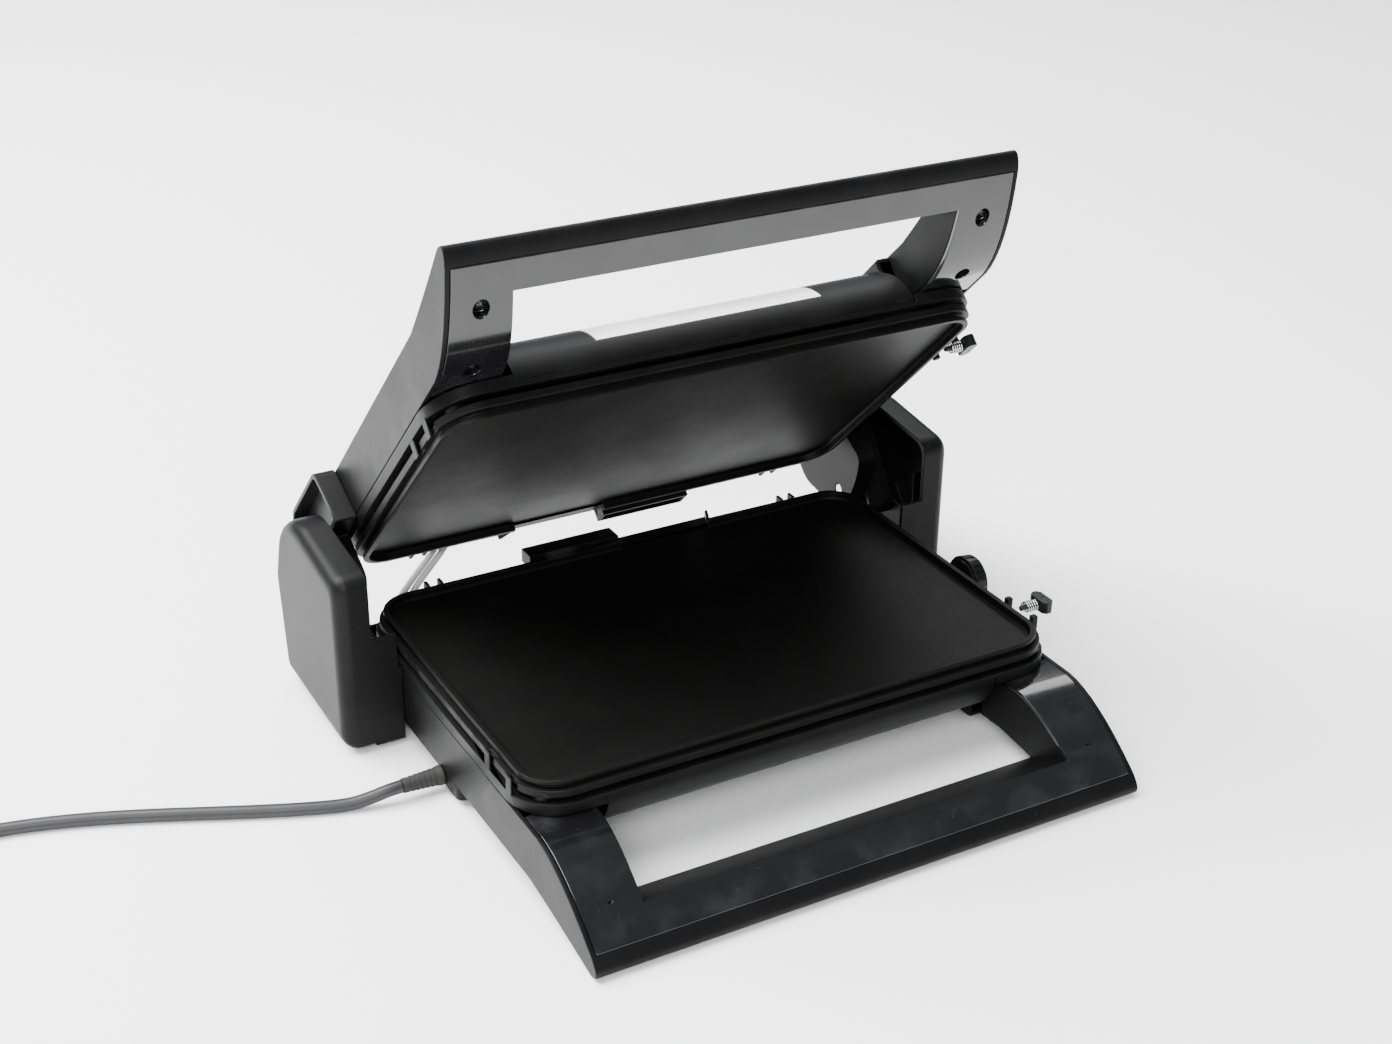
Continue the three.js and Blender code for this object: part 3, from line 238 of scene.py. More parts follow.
def grain_group():
    """Fine moulded or cast texture: a height, and a mask of where it is deepest."""
    group, start, end = new_group(
        "surface_grain",
        [("Vector", "NodeSocketVector", None), ("Scale", "NodeSocketFloat", 1500.0)],
        [("Height", "NodeSocketFloat"), ("Pits", "NodeSocketFloat")],
    )
    fine = noise(group, start.outputs["Vector"], start.outputs["Scale"], 2.0, 0.6)
    cells = group.nodes.new("ShaderNodeTexVoronoi")
    group.links.new(start.outputs["Vector"], cells.inputs["Vector"])
    group.links.new(start.outputs["Scale"], cells.inputs["Scale"])
    mixed = maths(group, "ADD", maths(group, "MULTIPLY", fine, 0.6), cells.outputs["Distance"])
    group.links.new(mixed, end.inputs["Height"])
    group.links.new(ramp(group, mixed, 0.75, 1.1), end.inputs["Pits"])
    return group


def wear_group():
    """Where hands and cloths have scuffed the edges: a mask from sharp convex places and blotches."""
    group, start, end = new_group(
        "edge_wear",
        [("Vector", "NodeSocketVector", None)],
        [("Wear", "NodeSocketFloat")],
    )
    geometry = group.nodes.new("ShaderNodeNewGeometry")
    edge = ramp(group, geometry.outputs["Pointiness"], 0.52, 0.60)
    blotch = ramp(group, noise(group, start.outputs["Vector"], 60.0, 5.0), 0.42, 0.66)
    group.links.new(maths(group, "MULTIPLY", edge, blotch), end.inputs["Wear"])
    return group


def smudge_group():
    """Large soft smears and small specks of dust."""
    group, start, end = new_group(
        "smears_and_dust",
        [("Vector", "NodeSocketVector", None)],
        [("Smear", "NodeSocketFloat"), ("Dust", "NodeSocketFloat")],
    )
    smear = ramp(group, noise(group, start.outputs["Vector"], 22.0, 6.0, 0.65), 0.35, 0.72)
    specks = ramp(group, noise(group, start.outputs["Vector"], 900.0, 1.0), 0.70, 0.78)
    patches = ramp(group, noise(group, start.outputs["Vector"], 35.0, 3.0), 0.45, 0.70)
    group.links.new(smear, end.inputs["Smear"])
    group.links.new(maths(group, "MULTIPLY", specks, patches), end.inputs["Dust"])
    return group


def brushed_group():
    """Long fine scratches along x."""
    group, start, end = new_group(
        "brushed_lines",
        [("Vector", "NodeSocketVector", None)],
        [("Lines", "NodeSocketFloat")],
    )
    stretch = group.nodes.new("ShaderNodeMapping")
    stretch.inputs["Scale"].default_value = (30, 2600, 2600)
    group.links.new(start.outputs["Vector"], stretch.inputs["Vector"])
    group.links.new(noise(group, stretch.outputs["Vector"], 1.0, 3.0), end.inputs["Lines"])
    return group


GRAIN = grain_group()
WEAR = wear_group()
SMUDGE = smudge_group()
BRUSHED = brushed_group()


def place_group(tree, group, vector, **values):
    node = tree.nodes.new("ShaderNodeGroup")
    node.node_tree = group
    tree.links.new(vector, node.inputs["Vector"])
    for label, value in values.items():
        node.inputs[label].default_value = value
    return node.outputs


def blend_colours(tree, factor, a, b):
    node = tree.nodes.new("ShaderNodeMix")
    node.data_type = "RGBA"
    tree.links.new(factor, node.inputs["Factor"])
    for socket, value in ((node.inputs["A"], a), (node.inputs["B"], b)):
        if isinstance(value, (tuple, list)):
            socket.default_value = (*value, 1)
        else:
            tree.links.new(value, socket)
    return node.outputs["Result"]


def bump(tree, height, strength, distance, normal=None):
    node = tree.nodes.new("ShaderNodeBump")
    node.inputs["Strength"].default_value = strength
    node.inputs["Distance"].default_value = distance
    tree.links.new(height, node.inputs["Height"])
    if normal is not None:
        tree.links.new(normal, node.inputs["Normal"])
    return node.outputs["Normal"]


WORN_SHARE, DUST_SHARE = 0.2, 0.07
DUST_COLOUR = (0.30, 0.29, 0.27)


def finish_of(name, dark, light, rough, grain=1500.0, grain_depth=0.00004, worn=(0.10, 0.10, 0.10),
              wear_shine=-0.05, smear=0.10, metallic=0.0, coat=0.0, brushed=0.0, specular=0.5):
    """A finish with colour variation, grain, smears, dust and worn edges."""
    material = bpy.data.materials.new(name)
    material.use_nodes = True
    tree = material.node_tree
    shader = tree.nodes["Principled BSDF"]
    place = tree.nodes.new("ShaderNodeTexCoord").outputs["Object"]

    grained = place_group(tree, GRAIN, place, Scale=grain)
    smudged = place_group(tree, SMUDGE, place)
    wear = place_group(tree, WEAR, place)["Wear"]

    colour = blend_colours(tree, noise(tree, place, 45.0, 5.0), dark, light)
    colour = blend_colours(tree, maths(tree, "MULTIPLY", wear, WORN_SHARE), colour, worn)
    colour = blend_colours(tree, maths(tree, "MULTIPLY", smudged["Dust"], DUST_SHARE), colour, DUST_COLOUR)
    tree.links.new(colour, shader.inputs["Base Color"])

    roughness = maths(tree, "ADD", maths(tree, "MULTIPLY", smudged["Smear"], smear), rough - smear / 2)
    roughness = maths(tree, "ADD", roughness, maths(tree, "MULTIPLY", wear, wear_shine))
    roughness = maths(tree, "ADD", roughness, maths(tree, "MULTIPLY", grained["Pits"], 0.05), clamp=True)
    tree.links.new(roughness, shader.inputs["Roughness"])

    normal = bump(tree, grained["Height"], 0.5, grain_depth)
    if brushed:
        lines = place_group(tree, BRUSHED, place)["Lines"]
        normal = bump(tree, lines, 0.6, brushed, normal)
    tree.links.new(normal, shader.inputs["Normal"])

    shader.inputs["Metallic"].default_value = metallic
    shader.inputs["Specular IOR Level"].default_value = specular
    shader.inputs["Coat Weight"].default_value = coat
    shader.inputs["Coat Roughness"].default_value = 0.06
    return material


MATERIALS = {
    "matt_black": finish_of("matt black moulding", (0.0024, 0.0024, 0.0027), (0.0036, 0.0036, 0.0039), 0.44,
                            grain=1900.0, worn=(0.03, 0.03, 0.03), smear=0.04, specular=0.11),
    "gloss_black": finish_of("gloss black moulding", (0.003, 0.003, 0.0033), (0.005, 0.005, 0.0055), 0.13,
                             grain=900.0, grain_depth=0.000003, smear=0.02, coat=0.4, specular=0.42),
    "button_black": finish_of("satin black moulding", (0.003, 0.003, 0.0033), (0.0045, 0.0045, 0.005), 0.34,
                              grain=2400.0, grain_depth=0.00002, smear=0.04, specular=0.25),
    "non_stick": finish_of("non-stick coating", (0.0024, 0.0024, 0.0024), (0.0038, 0.0036, 0.0034), 0.46,
                           grain=1300.0, grain_depth=0.00005, worn=(0.07, 0.068, 0.065), smear=0.05,
                           specular=0.10),
    "element_steel": finish_of("heat-darkened sheath", (0.10, 0.09, 0.08), (0.24, 0.22, 0.20), 0.45,
                               metallic=1.0, worn=(0.35, 0.33, 0.30)),
    "tray_steel": finish_of("rolled sheet", (0.46, 0.46, 0.45), (0.60, 0.60, 0.59), 0.35,
                            metallic=1.0, worn=(0.7, 0.7, 0.7), brushed=0.00001),
    "bright_steel": finish_of("bright plating", (0.60, 0.60, 0.61), (0.74, 0.74, 0.75), 0.18,
                              grain_depth=0.000006, metallic=1.0, worn=(0.8, 0.8, 0.8)),
    "brushed_inlay": finish_of("brushed inlay", (0.84, 0.84, 0.85), (0.92, 0.92, 0.93), 0.42,
                               grain_depth=0.00001, metallic=0.75, worn=(0.95, 0.95, 0.95), brushed=0.00002),
    "slider_nylon": finish_of("natural nylon", (0.52, 0.50, 0.44), (0.62, 0.60, 0.53), 0.5,
                              worn=(0.7, 0.68, 0.6)),
    "ceramic": finish_of("unglazed ceramic", (0.60, 0.56, 0.48), (0.72, 0.68, 0.60), 0.7,
                         worn=(0.75, 0.72, 0.65)),
    "lead_sleeve": finish_of("woven sleeve", (0.42, 0.42, 0.43), (0.78, 0.78, 0.79), 0.42, grain=2600.0,
                             grain_depth=0.0001, worn=(0.8, 0.8, 0.8), metallic=0.35),
    "rubber": finish_of("matt rubber", (0.010, 0.010, 0.010), (0.018, 0.018, 0.017), 0.72,
                        worn=(0.04, 0.04, 0.04), specular=0.35),
    "cord_jacket": finish_of("cord jacket", (0.008, 0.008, 0.009), (0.014, 0.014, 0.015), 0.46, specular=0.4),
    "plug_black": finish_of("moulded plug", (0.008, 0.008, 0.009), (0.014, 0.014, 0.015), 0.45, specular=0.4),
}
SLOT_OF = {row["node"]: row["material_slot"] for row in frame["record"]["subparts"]}


def dress(obj, slot):
    obj.data.materials.clear()
    obj.data.materials.append(MATERIALS[slot])


# ------------------------------------------------------------------ modelling helpers

def only(obj):
    bpy.ops.object.select_all(action="DESELECT")
    obj.select_set(True)
    bpy.context.view_layer.objects.active = obj


def mode(name):
    bpy.ops.object.mode_set(mode=name)


def apply_modifier(obj, kind, **settings):
    only(obj)
    modifier = obj.modifiers.new(kind.lower(), kind)
    for label, value in settings.items():
        setattr(modifier, label, value)
    bpy.ops.object.modifier_apply(modifier=modifier.name)


def primitive(kind, name, **settings):
    bpy.ops.object.select_all(action="DESELECT")
    getattr(bpy.ops.mesh, f"primitive_{kind}_add")(**settings)
    piece = bpy.context.object
    piece.name = name
    bpy.ops.object.transform_apply(location=True, rotation=True, scale=True)
    return piece


def settle(piece, matrix=None):
    """Puts a piece in place, with its place in its mesh."""
    only(piece)
    if matrix is not None:
        piece.matrix_world = matrix @ piece.matrix_world
    bpy.ops.object.transform_apply(location=True, rotation=True, scale=True)
    return piece


def join(piece, *others):
    only(piece)
    for other in others:
        other.select_set(True)
    bpy.ops.object.join()
    return piece


def combine(piece, operation, *tools):
    for tool in tools:
        apply_modifier(piece, "BOOLEAN", object=tool, operation=operation, solver="EXACT")
        bpy.data.objects.remove(tool)
    return piece


def carve(piece, *tools):
    return combine(piece, "DIFFERENCE", *tools)


def weld(piece, *others):
    return combine(piece, "UNION", *others)


def block(low, high):
    """A box between two corners in millimetres, as a start for a rib or a tool."""
    middle = [(a + b) / 2 * MM for a, b in zip(low, high)]
    size = [(b - a) * MM for a, b in zip(low, high)]
    return primitive("cube", "block", size=1, location=middle, scale=size)


def twin(piece):
    """A second piece of the same shape, with its own mesh."""
    other = piece.copy()
    other.data = piece.data.copy()
    bpy.context.collection.objects.link(other)
    return other


def pick_faces(piece, test):
    """Goes into edit mode with the faces chosen whose centre and normal pass the test."""
    only(piece)
    mode("EDIT")
    bpy.ops.mesh.select_mode(type="FACE")
    bpy.ops.mesh.select_all(action="DESELECT")
    mode("OBJECT")
    chosen = [bool(test(face.center, face.normal)) for face in piece.data.polygons]
    piece.data.polygons.foreach_set("select", chosen)
    mode("EDIT")


def round_edges(piece, width, segments=2, angle=35):
    """Rounds the sharp edges, and brings back any point that strays from the shape before."""
    sharp = twin(piece)
    apply_modifier(piece, "BEVEL", width=width, segments=segments, limit_method="ANGLE",
                   angle_limit=math.radians(angle), use_clamp_overlap=False)
    bpy.context.view_layer.update()
    for vertex in piece.data.vertices:
        found, place, _, _ = sharp.closest_point_on_mesh(vertex.co)
        if found and (place - vertex.co).length > width / 2:
            vertex.co = place
    bpy.data.objects.remove(sharp)


def smooth_faces(piece, angle=32):
    only(piece)
    bpy.ops.object.shade_smooth_by_angle(angle=math.radians(angle))
    apply_modifier(piece, "WEIGHTED_NORMAL", keep_sharp=True, weight=50)


def copy_of(node, tolerance=0.6):
    """A merged copy of a CAD node as a new piece that stands for it."""
    piece = nodes[node].copy()
    piece.data = nodes[node].data.copy()
    piece.parent = None
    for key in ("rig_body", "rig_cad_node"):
        del piece[key]
    piece.name = node + "_finished"
    bpy.context.collection.objects.link(piece)
    only(piece)
    if piece.data.has_custom_normals:
        bpy.ops.mesh.customdata_custom_splitnormals_clear()
    mode("EDIT")
    bpy.ops.mesh.select_all(action="SELECT")
    bpy.ops.mesh.remove_doubles(threshold=0.000002)
    bpy.ops.mesh.dissolve_limited(angle_limit=math.radians(tolerance))
    mode("OBJECT")
    return piece


def declare(piece, node):
    """Hides the CAD node that a piece stands for, and gives the piece that node's body and finish."""
    slot = SLOT_OF[node]
    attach(piece, nodes[node]["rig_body"])
    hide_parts(node)
    dress(piece, slot)


def softened(node, width=0.0004, segments=2, angle=35):
    piece = copy_of(node)
    round_edges(piece, width, segments, angle)
    smooth_faces(piece)
    declare(piece, node)


def turned(name, profile, matrix, steps=48):
    """A round piece about its z axis, from (radius, z) points in millimetres that start and end on the axis."""
    data = bpy.data.curves.new(name, "CURVE")
    data.dimensions = "3D"
    spline = data.splines.new("POLY")
    spline.points.add(len(profile) - 1)
    for point, (radius, z) in zip(spline.points, profile):
        point.co = (radius * MM, 0, z * MM, 1)
    piece = bpy.data.objects.new(name, data)
    bpy.context.collection.objects.link(piece)
    only(piece)
    bpy.ops.object.convert(target="MESH")
    apply_modifier(piece, "SCREW", angle=2 * math.pi, steps=steps, render_steps=steps, axis="Z",
                   use_merge_vertices=True, merge_threshold=0.000001)
    only(piece)
    mode("EDIT")
    bpy.ops.mesh.select_all(action="SELECT")
    bpy.ops.mesh.remove_doubles(threshold=0.000002)
    bpy.ops.mesh.normals_make_consistent(inside=False)
    mode("OBJECT")
    return settle(piece, matrix)


def facing(place, direction):
    """Matrix that carries an upright piece to a place, with its z axis along a direction."""
    turn_to = Vector(direction).to_track_quat("Z", "Y").to_matrix().to_4x4()
    return Matrix.Translation(place) @ turn_to


def box_of(node):
    """The two corners of a CAD node's box, and its middle."""
    low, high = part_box(node)
    return low, high, (low + high) / 2


# ------------------------------------------------------------------ mouldings and plates

HALVES = ("lower", "upper")
SIDES = ("left", "right")
DIAGONAL = math.sqrt(0.5)
UPPER_OUTWARDS = Vector((0, DIAGONAL, DIAGONAL))     # away from the upper half's cooking surface
UPPER_FORWARDS = Vector((0, -DIAGONAL, DIAGONAL))    # from the hinge towards the upper handle

for name, node in nodes.items():
    dress(node, SLOT_OF[name])

for half in HALVES:
    softened(f"{half}_handle_cover", 0.0005)
    softened(f"{half}_side_frame", 0.0005)
    softened(f"{half}_shell", 0.0006)
    softened(f"{half}_bezel", 0.0005)
    softened(f"{half}_reflector_tray", 0.0003)
    softened(f"{half}_heating_element", 0.0002, angle=50)
for side in SIDES:
    softened(f"hinge_arm_{side}", 0.0005)
    softened(f"hinge_guide_{side}", 0.0003)
    softened(f"slider_block_{side}", 0.0003)
    softened(f"hinge_pin_{side}", 0.0001, 1)
softened("cord_tie", 0.0001, 1)
softened("terminal_block", 0.0003)


# ------------------------------------------------------------------ hinge covers

# In millimetres, in the table's frame; x is the right-hand cover's, and the left-hand cover mirrors it.
RIB_REACH = (184.5, 190.4)       # from the ribs' free edge to inside the wall that they stand on
RIB_WALL = 1.6
UPRIGHT_Y, UPRIGHT_Z = 71, (8, 74)
LEVEL_Y, LEVEL_Z = (52, 97), 46
SLANTED_Y, SLANTED_Z, SLANTED_LEAN = 55, (20, 60), 36
BOSS_Y, BOSS_Z = 86, 22
BOSS_X, BOSS_RADIUS, BOSS_LENGTH = 184.5, 4.2, 11.8
HOLE_X, HOLE_RADIUS, HOLE_LENGTH = 181, 1.6, 10


def level_rod(name, radius, length, middle, steps):
    """A round rod along x, sized and placed in millimetres."""
    return primitive("cylinder", name, vertices=steps, radius=radius * MM, depth=length * MM,
                     location=[a * MM for a in middle], rotation=(0, math.pi / 2, 0))


def ribbed_cover(side):
    """A hood with thin ribs and a screw boss on its inside wall, in front of the hinge guide."""
    way = 1 if side == "right" else -1
    near, far = sorted(way * x for x in RIB_REACH)
    cover = copy_of(f"side_cover_{side}")
    upright = block((near, UPRIGHT_Y, UPRIGHT_Z[0]), (far, UPRIGHT_Y + RIB_WALL, UPRIGHT_Z[1]))
    level = block((near, LEVEL_Y[0], LEVEL_Z), (far, LEVEL_Y[1], LEVEL_Z + RIB_WALL))
    slanted = block((near, SLANTED_Y, SLANTED_Z[0]), (far, SLANTED_Y + RIB_WALL, SLANTED_Z[1]))
    for vertex in slanted.data.vertices:
        if vertex.co.z > sum(SLANTED_Z) / 2 * MM:
            vertex.co.y += SLANTED_LEAN * MM
    boss = level_rod("boss", BOSS_RADIUS, BOSS_LENGTH, (way * BOSS_X, BOSS_Y, BOSS_Z), 28)
    hole = level_rod("hole", HOLE_RADIUS, HOLE_LENGTH, (way * HOLE_X, BOSS_Y, BOSS_Z), 20)
    weld(cover, upright, level, slanted, carve(boss, hole))
    round_edges(cover, 0.0005)
    smooth_faces(cover)
    declare(cover, f"side_cover_{side}")


for side in SIDES:
    ribbed_cover(side)


# ------------------------------------------------------------------ grill plates

COOK_MIDDLE = 100                                # from the back of the cooking surface to its middle
FLANGE_SIZE, FLANGE_CORNER = (312, 212), 24
FLANGE_BACK, DISH_FLOOR, GROOVE_TOP = 8.5, 4.5, 2.6
GROOVE_INSET, RIM_REACH, RIM_WIDTH = 4.2, 1.5, 3.3
RIM_ROUND = 1.6
FIN_FOOT, FIN_HEIGHT, FIN_WALL = 0.4, 5.5, 2
PRONG_X, PRONG_SPACING = 115, 4                  # pairs of prongs at the back
PAD_X, PAD_PLACES, PAD_RADIUS = 145, (4, 196), 5
NOTCH_X, NOTCH_PLACES, NOTCH_HALF = (153.5, 157), (160, 185), 4

# A half's own frame, in millimetres: x across, s forwards from the back of the cooking surface, n outwards.
UPPER_ORIGIN = Vector((0, 122.9707, 11.0785))    # where the upper one starts, in the lower rim's frame
OWN_TO_LOWER = Matrix(((1, 0, 0), (0, -1, 0), (0, 0, -1)))
OWN_TO_UPPER = Matrix(((-1, 0, 0), (0, -DIAGONAL, DIAGONAL), (0, DIAGONAL, DIAGONAL)))


def from_own(turn_to, origin):
    return Matrix.Translation(Vector(origin) * MM + TABLE_SHIFT) @ turn_to.to_4x4()


FROM_OWN = {
    "lower": from_own(OWN_TO_LOWER, (0, COOK_MIDDLE, 0)),
    "upper": from_own(OWN_TO_UPPER, UPPER_ORIGIN),
}


def draw_out(n):
    bpy.ops.mesh.extrude_region_move(TRANSFORM_OT_translate={"value": (0, 0, n * MM)})


def spread(across, along):
    """Resizes what is selected about the middle of the cooking surface."""
    bpy.ops.transform.resize(value=(across, along, 1), center_override=(0, COOK_MIDDLE * MM, 0))


def cast_dish():
    """A dish with rounded corners: flange, groove, rim and sunk cooking surface, drawn out of one face."""
    dish = primitive("plane", "dish", size=1, location=(0, COOK_MIDDLE * MM, FLANGE_BACK * MM))
    only(dish)
    mode("EDIT")
    bpy.ops.mesh.select_mode(type="FACE")
    bpy.ops.mesh.select_all(action="SELECT")
    spread(*(size * MM for size in FLANGE_SIZE))
    bpy.ops.mesh.bevel(offset=FLANGE_CORNER * MM, segments=10, affect="VERTICES")
    bpy.ops.mesh.select_all(action="SELECT")
    draw_out(DISH_FLOOR - FLANGE_BACK)
    bpy.ops.mesh.inset(thickness=GROOVE_INSET * MM, depth=0)
    draw_out(GROOVE_TOP - DISH_FLOOR)
    draw_out(0)
    spread(*(1 + 2 * RIM_REACH / (size - 2 * GROOVE_INSET) for size in FLANGE_SIZE))
    draw_out(-GROOVE_TOP)
    bpy.ops.mesh.inset(thickness=RIM_WIDTH * MM, depth=0)
    draw_out(DISH_FLOOR)
    bpy.ops.mesh.region_to_loop()
    bpy.ops.mesh.bevel(offset=RIM_ROUND * MM, segments=4, affect="EDGES")
    bpy.ops.mesh.select_all(action="SELECT")
    bpy.ops.mesh.normals_make_consistent(inside=False)
    mode("OBJECT")
    return dish


def leaning_fin(x, lean):
    """An upright fin at the back, whose back end leans sideways."""
    fin = block((x, -14, FIN_FOOT), (x + FIN_WALL, -2, FIN_HEIGHT))
    for vertex in fin.data.vertices:
        if vertex.co.y < -0.010:
            vertex.co.x += lean * MM
    return fin


def grill_plates():
    """One casting with drain, ledge, fins, prongs, pads and latch notches, and its twin, each in its half."""
    plate = cast_dish()
    carve(plate, block((0, -7, -1), (57, 1.7, DISH_FLOOR)))
    ledge = carve(block((-57, -17, -2), (-0.3, -5, 6.5)), block((-55, -15, -3), (-2, -7, 3.5)))
    weld(plate, ledge, block((-2, -14, DISH_FLOOR), (62, -5, 6)), leaning_fin(57, 5), leaning_fin(-2.3, 0))
    for side in (-1, 1):
        for prong in (side * PRONG_X - PRONG_SPACING, side * PRONG_X + PRONG_SPACING):
            weld(plate, block((prong - 1, -11, 0.5), (prong + 1, -5, 6)))
        for s in PAD_PLACES:
            weld(plate, primitive("cylinder", "pad", vertices=24, radius=PAD_RADIUS * MM, depth=0.0032,
                                  location=(side * PAD_X * MM, s * MM, 0.0091)))
        inner, outer = sorted(side * x for x in NOTCH_X)
        for s in NOTCH_PLACES:
            carve(plate, block((inner, s - NOTCH_HALF, 4.3), (outer, s + NOTCH_HALF, 9.5)))
    round_edges(plate, 0.0005, 3, 30)
    for half, piece in zip(HALVES, (plate, twin(plate))):
        piece.name = f"{half}_grill_plate_finished"
        settle(piece, FROM_OWN[half])
        smooth_faces(piece)
        declare(piece, f"{half}_grill_plate")


grill_plates()


# ------------------------------------------------------------------ release buttons and their springs

BUTTON_SIZE = (0.007, 0.015, 0.007)
STEM_SUNK = 0.0005                # how far the stem goes into the block


def release_button(half):
    """A block with chamfered corners and a pin hole, on a stem that slides in its bracket."""
    node = f"{half}_release_button"
    low, high, middle = box_of(node)
    button = primitive("cube", node + "_finished", size=1, scale=BUTTON_SIZE)
    only(button)
    mode("EDIT")
    bpy.ops.mesh.select_mode(type="EDGE")
    bpy.ops.mesh.select_all(action="DESELECT")
    mode("OBJECT")
    points = button.data.vertices
    ends = [edge.vertices for edge in button.data.edges]
    upright = [abs(points[a].co.z - points[b].co.z) > BUTTON_SIZE[2] / 2 for a, b in ends]
    button.data.edges.foreach_set("select", upright)
    mode("EDIT")
    bpy.ops.mesh.bevel(offset=0.0021, segments=1)
    mode("OBJECT")
    round_edges(button, 0.00045, 3, 25)
    hole = primitive("cylinder", "hole", vertices=20, radius=0.0006, depth=0.004,
                     location=(0.0004, 0, BUTTON_SIZE[2] / 2))
    carve(button, hole)
    length = high.x - low.x - BUTTON_SIZE[0] + STEM_SUNK
    stem = turned("stem", [(0, 0), (1.3, 0), (1.6, 0.4), (1.6, length / MM), (0, length / MM)],
                  facing((low.x - high.x + BUTTON_SIZE[0] / 2, 0, 0), (1, 0, 0)), 24)
    join(button, stem)
    lean = Matrix.Rotation(math.radians(135 if half == "upper" else 0), 4, "X")
    settle(button, Matrix.Translation((high.x - BUTTON_SIZE[0] / 2, middle.y, middle.z)) @ lean)
    smooth_faces(button)
    declare(button, node)


def button_spring(half):
    node = f"{half}_button_spring"
    low, high, middle = box_of(node)
    wire, coil_radius, turns, steps = 0.00045, 0.0029, 4.75, 22
    reach = high.x - low.x - 2 * wire
    line = []
    count = int(turns * steps)
    for i in range(count + 1):
        share = i / count
        closed = smooth(min(share, 1 - share) / 0.12)
        angle = 2 * math.pi * turns * share
        pitch = share if closed >= 1 else share * 0.9 + 0.05 * (1 if share > 0.5 else 0) + 0.05 * share
        line.append(Vector((
            low.x + wire + reach * min(1, pitch),
            middle.y + coil_radius * math.cos(angle),
            middle.z + coil_radius * math.sin(angle),
        )))
    spring = round_curve(node + "_finished", line, wire, 3)
    only(spring)
    bpy.ops.object.convert(target="MESH")
    declare(spring, node)
    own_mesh(spring)


for half in HALVES:
    release_button(half)
    button_spring(half)


# ------------------------------------------------------------------ thermostat knob

def knob():
    """A fluted drum with a sunk face, a raised disc and a pointer."""
    low, high, middle = box_of("thermostat_knob")
    drum = turned("thermostat_knob_finished", [
        (0, 0), (12.4, 0), (12.5, 1.5), (14.2, 1.5), (14.4, 1.9), (13.9, 8.2), (13.4, 9.0), (12.4, 9.5),
        (11.6, 9.5), (11.2, 9.2), (11.0, 8.2), (7.6, 8.0), (7.3, 8.3), (7.2, 9.4), (6.8, 9.8), (0, 9.9),
    ], Matrix.Identity(4), 72)
    pick_faces(drum, lambda centre, normal: 0.0025 < centre.z < 0.008 and centre.xy.length > 0.0135
               and int(math.degrees(math.atan2(centre.y, centre.x)) / 5 + 72) % 3 == 0)
    bpy.ops.mesh.inset(thickness=0.00015, depth=-0.00045, use_individual=True)
    mode("OBJECT")
    pointer = primitive("cube", "pointer", size=1, scale=(0.0026, 0.0215, 0.003), location=(0, 0, 0.0105))
    round_edges(pointer, 0.0006, 3)
    join(drum, pointer)
    settle(drum, facing((low.x, middle.y, middle.z), (1, 0, 0)))
    smooth_faces(drum)
    declare(drum, "thermostat_knob")


knob()


# ------------------------------------------------------------------ feet, gland and plug

def foot(node):
    low, high, middle = box_of(node)
    height = (high.z - low.z) / MM
    piece = turned(node + "_finished", [
        (0, 0.5), (2.4, 0.5), (2.9, 0), (4.2, 0), (4.6, 0.45), (5.3, 0.45), (5.7, 0), (6.8, 0), (7.6, 0.35),
        (7.95, 1.1), (7.95, height - 0.2), (7.8, height), (0, height),
    ], Matrix.Translation((middle.x, middle.y, low.z)))
    smooth_faces(piece)
    declare(piece, node)


for i in range(1, 5):
    foot(f"rubber_foot_{i}")


def strain_relief():
    """A tapered sleeve with rings of grooves round it."""
    low, high, middle = box_of("cord_gland")
    profile = [(0, 0), (5.2, 0), (5.4, 0.3), (5.4, 1.8), (5.1, 2.4)]
    for i in range(6):
        z = 4 + 2.7 * i
        radius = 4.95 - 0.16 * i
        profile += [(radius, z), (radius - 0.45, z + 0.25), (radius - 0.5, z + 0.9), (radius - 0.1, z + 1.15)]
    profile += [(4.0, 21.4), (3.8, 22), (0, 22)]
    piece = turned("cord_gland_finished", profile, facing((high.x, middle.y, middle.z), (-1, 0, 0)))
    smooth_faces(piece)
    declare(piece, "cord_gland")


strain_relief()


def power_plug():
    """A round two-pin plug with a ribbed neck, finger scallops and sleeved pins."""
    low, high, middle = box_of("power_plug")
    profile = [(0, 0), (4.3, 0), (4.6, 0.4)]
    for i in range(5):
        z = 1.8 + 2.5 * i
        radius = 4.75 + 0.17 * i
        profile += [(radius, z), (radius - 0.4, z + 0.3), (radius - 0.4, z + 0.9), (radius, z + 1.2)]
    profile += [(5.8, 14.6), (7.0, 17.6), (9.4, 20.2), (14.2, 23.4), (17.2, 25.9), (18.6, 28.6), (18.9, 30.4),
                (18.9, 36.9), (18.5, 38.2), (17.6, 38.9), (15.2, 39), (14.9, 38.6), (0, 38.6)]
    plug = turned("power_plug_finished", profile, Matrix.Identity(4), 64)
    pick_faces(plug, lambda centre, normal: 0.029 < centre.z < 0.0375 and centre.xy.length > 0.0185
               and abs(centre.y) < 0.006)
    bpy.ops.mesh.inset(thickness=0.0004, depth=-0.0007)
    mode("OBJECT")
    pins = []
    for x in (-9.5, 9.5):
        pins.append(turned("pin", [
            (0, 38), (2.35, 38), (2.35, 48), (2.2, 48.2), (2.2, 56.4), (1.9, 57.4), (1.1, 57.9), (0, 58),
        ], Matrix.Translation((x * MM, 0, 0)), 24))
    join(plug, *pins)
    settle(plug, facing((middle.x, low.y, middle.z), (0, 1, 0)))
    smooth_faces(plug)
    declare(plug, "power_plug")
    return plug


plug = power_plug()


# ------------------------------------------------------------------ leads between the halves

def upper_place(x, s, n):
    """A point of the upper half's own frame, in the lower rim's frame."""
    return OWN_TO_UPPER @ Vector((x, s, n)) + UPPER_ORIGIN


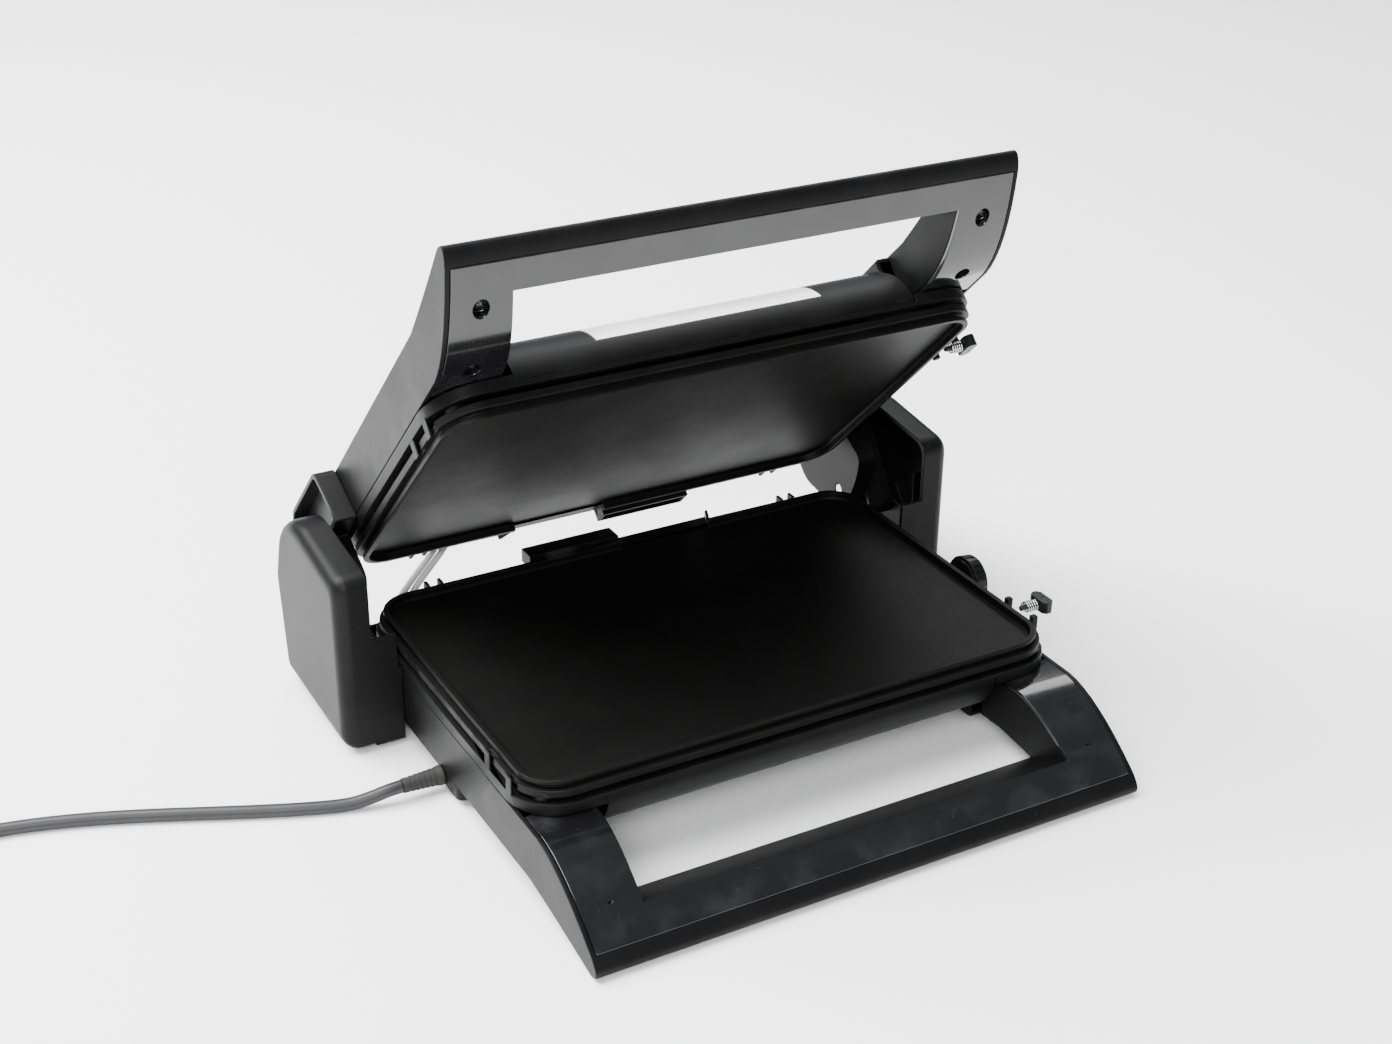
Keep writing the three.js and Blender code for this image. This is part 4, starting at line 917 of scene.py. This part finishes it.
LEAD_PITCH, LEAD_LEAN, LEAD_RADIUS = 6.5, 56, 0.00195
LEAD_START = Vector((-139, 118.27, -24.745))
for i in range(2):
    x, y, z = LEAD_START + Vector((LEAD_PITCH * i, 0, 0))
    lower_line = [(x - 7, 108.5, z - 12), (x - 6.6, 111.8, z - 11.5), (x - 2, y - 0.8, z - 5), (x, y, z)]
    upper_line = [
        (x, y, z), (x + 14, y + 9, z + 12), (x + LEAD_LEAN - 17, y + 21.5, z + 28),
        upper_place(-x - LEAD_LEAN + 3, -14.5, 23), upper_place(-x - LEAD_LEAN, -8.9, 24),
    ]
    for half, line, bodies in (
        ("lower", lower_line, ("base", "hinge_carriage")),
        ("upper", upper_line, ("hinge_carriage", "upper_half")),
    ):
        node = f"{half}_lead_{i + 1}"
        places = through(placed(line), 8)
        piece = round_curve(node + "_finished", places, LEAD_RADIUS, 4)
        only(piece)
        bpy.ops.object.convert(target="MESH")
        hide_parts(node)
        dress(piece, "lead_sleeve")
        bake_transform(piece)


# ------------------------------------------------------------------ embossed inlay

COLUMNS, ROWS, ROW_STEP = 26, 16, 0.005


def inlay():
    """A brushed strip round the shell's front curve, pressed with rows of shallow dimples."""
    piece = copy_of("upper_shell_inlay", 0.2)
    low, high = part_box("upper_shell_inlay")
    only(piece)
    mode("EDIT")
    for i in range(1, COLUMNS):
        bpy.ops.mesh.select_all(action="SELECT")
        x = low.x + (high.x - low.x) * i / COLUMNS
        bpy.ops.mesh.bisect(plane_co=(x, 0, 0), plane_no=(1, 0, 0))
    start = min(v.co.dot(UPPER_FORWARDS) for v in nodes["upper_shell_inlay"].data.vertices)
    for i in range(1, ROWS):
        bpy.ops.mesh.select_all(action="SELECT")
        bpy.ops.mesh.bisect(plane_co=UPPER_FORWARDS * (start + ROW_STEP * i), plane_no=UPPER_FORWARDS)
    mode("OBJECT")
    step = (high.x - low.x) / COLUMNS

    def dimple(centre, normal):
        column = int((centre.x - low.x) / step)
        outer = normal.dot(UPPER_OUTWARDS) > 0.2
        row = int((centre.dot(UPPER_FORWARDS) - start) / ROW_STEP)
        return outer and 0 < column < COLUMNS - 1 and (column + row) % 2 == 0 and 0 < row

    pick_faces(piece, dimple)
    bpy.ops.mesh.inset(thickness=0.0009, depth=-0.00012, use_individual=True)
    bpy.ops.mesh.inset(thickness=0.0007, depth=-0.00016, use_individual=True)
    mode("OBJECT")
    smooth_faces(piece, 40)
    declare(piece, "upper_shell_inlay")


inlay()


# ------------------------------------------------------------------ the cord

cord = round_curve("mains_cord", cord_line, CORD_RADIUS, 5)
dress(cord, "cord_jacket")
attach(cord, "base")
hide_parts("cord_run", "cord_coil", "cord_tail")


# ------------------------------------------------------------------ floor, light and finish

def make_stage():
    only(camera)
    bpy.ops.mesh.primitive_plane_add(size=8, location=(0, 0, 0))
    floor = bpy.context.object
    floor.name = "floor"
    material = bpy.data.materials.new("pale floor")
    material.use_nodes = True
    shader = material.node_tree.nodes["Principled BSDF"]
    shader.inputs["Base Color"].default_value = (0.94, 0.94, 0.94, 1)
    shader.inputs["Roughness"].default_value = 0.55
    floor.data.materials.append(material)


def area_light(name, place, aim, size, power):
    data = bpy.data.lights.new(name, "AREA")
    data.shape = "RECTANGLE"
    data.size, data.size_y = size
    data.energy = power
    light = bpy.data.objects.new(name, data)
    bpy.context.collection.objects.link(light)
    light.location = place
    light.rotation_mode = "QUATERNION"
    light.rotation_quaternion = (Vector(aim) - Vector(place)).to_track_quat("-Z", "Y")


# Each light's place, the point that it faces, its width and height in metres, and its watts.
LIGHTS = {
    "window": ((-1.3, 1.2, 1.7), (0, 0, 0.1), (1.6, 1.1), 92),
    "front softbox": ((-1.1, -1.7, 1.4), (0, 0, 0.1), (1.4, 1.0), 66),
    "top softbox": ((-1.1, 0.8, 3.0), (0, 0.2, 0), (3.0, 3.0), 400),
    "far softbox": ((1.25, 1.6, 1.9), (0, 0, 0.1), (2.0, 0.7), 30),
}
make_stage()
for name, settings in LIGHTS.items():
    area_light(name, *settings)
world = bpy.data.worlds.new("studio")
bpy.context.scene.world = world
world.use_nodes = True
world.node_tree.nodes["Background"].inputs["Color"].default_value = (0.85, 0.88, 0.92, 1)
world.node_tree.nodes["Background"].inputs["Strength"].default_value = 0.36
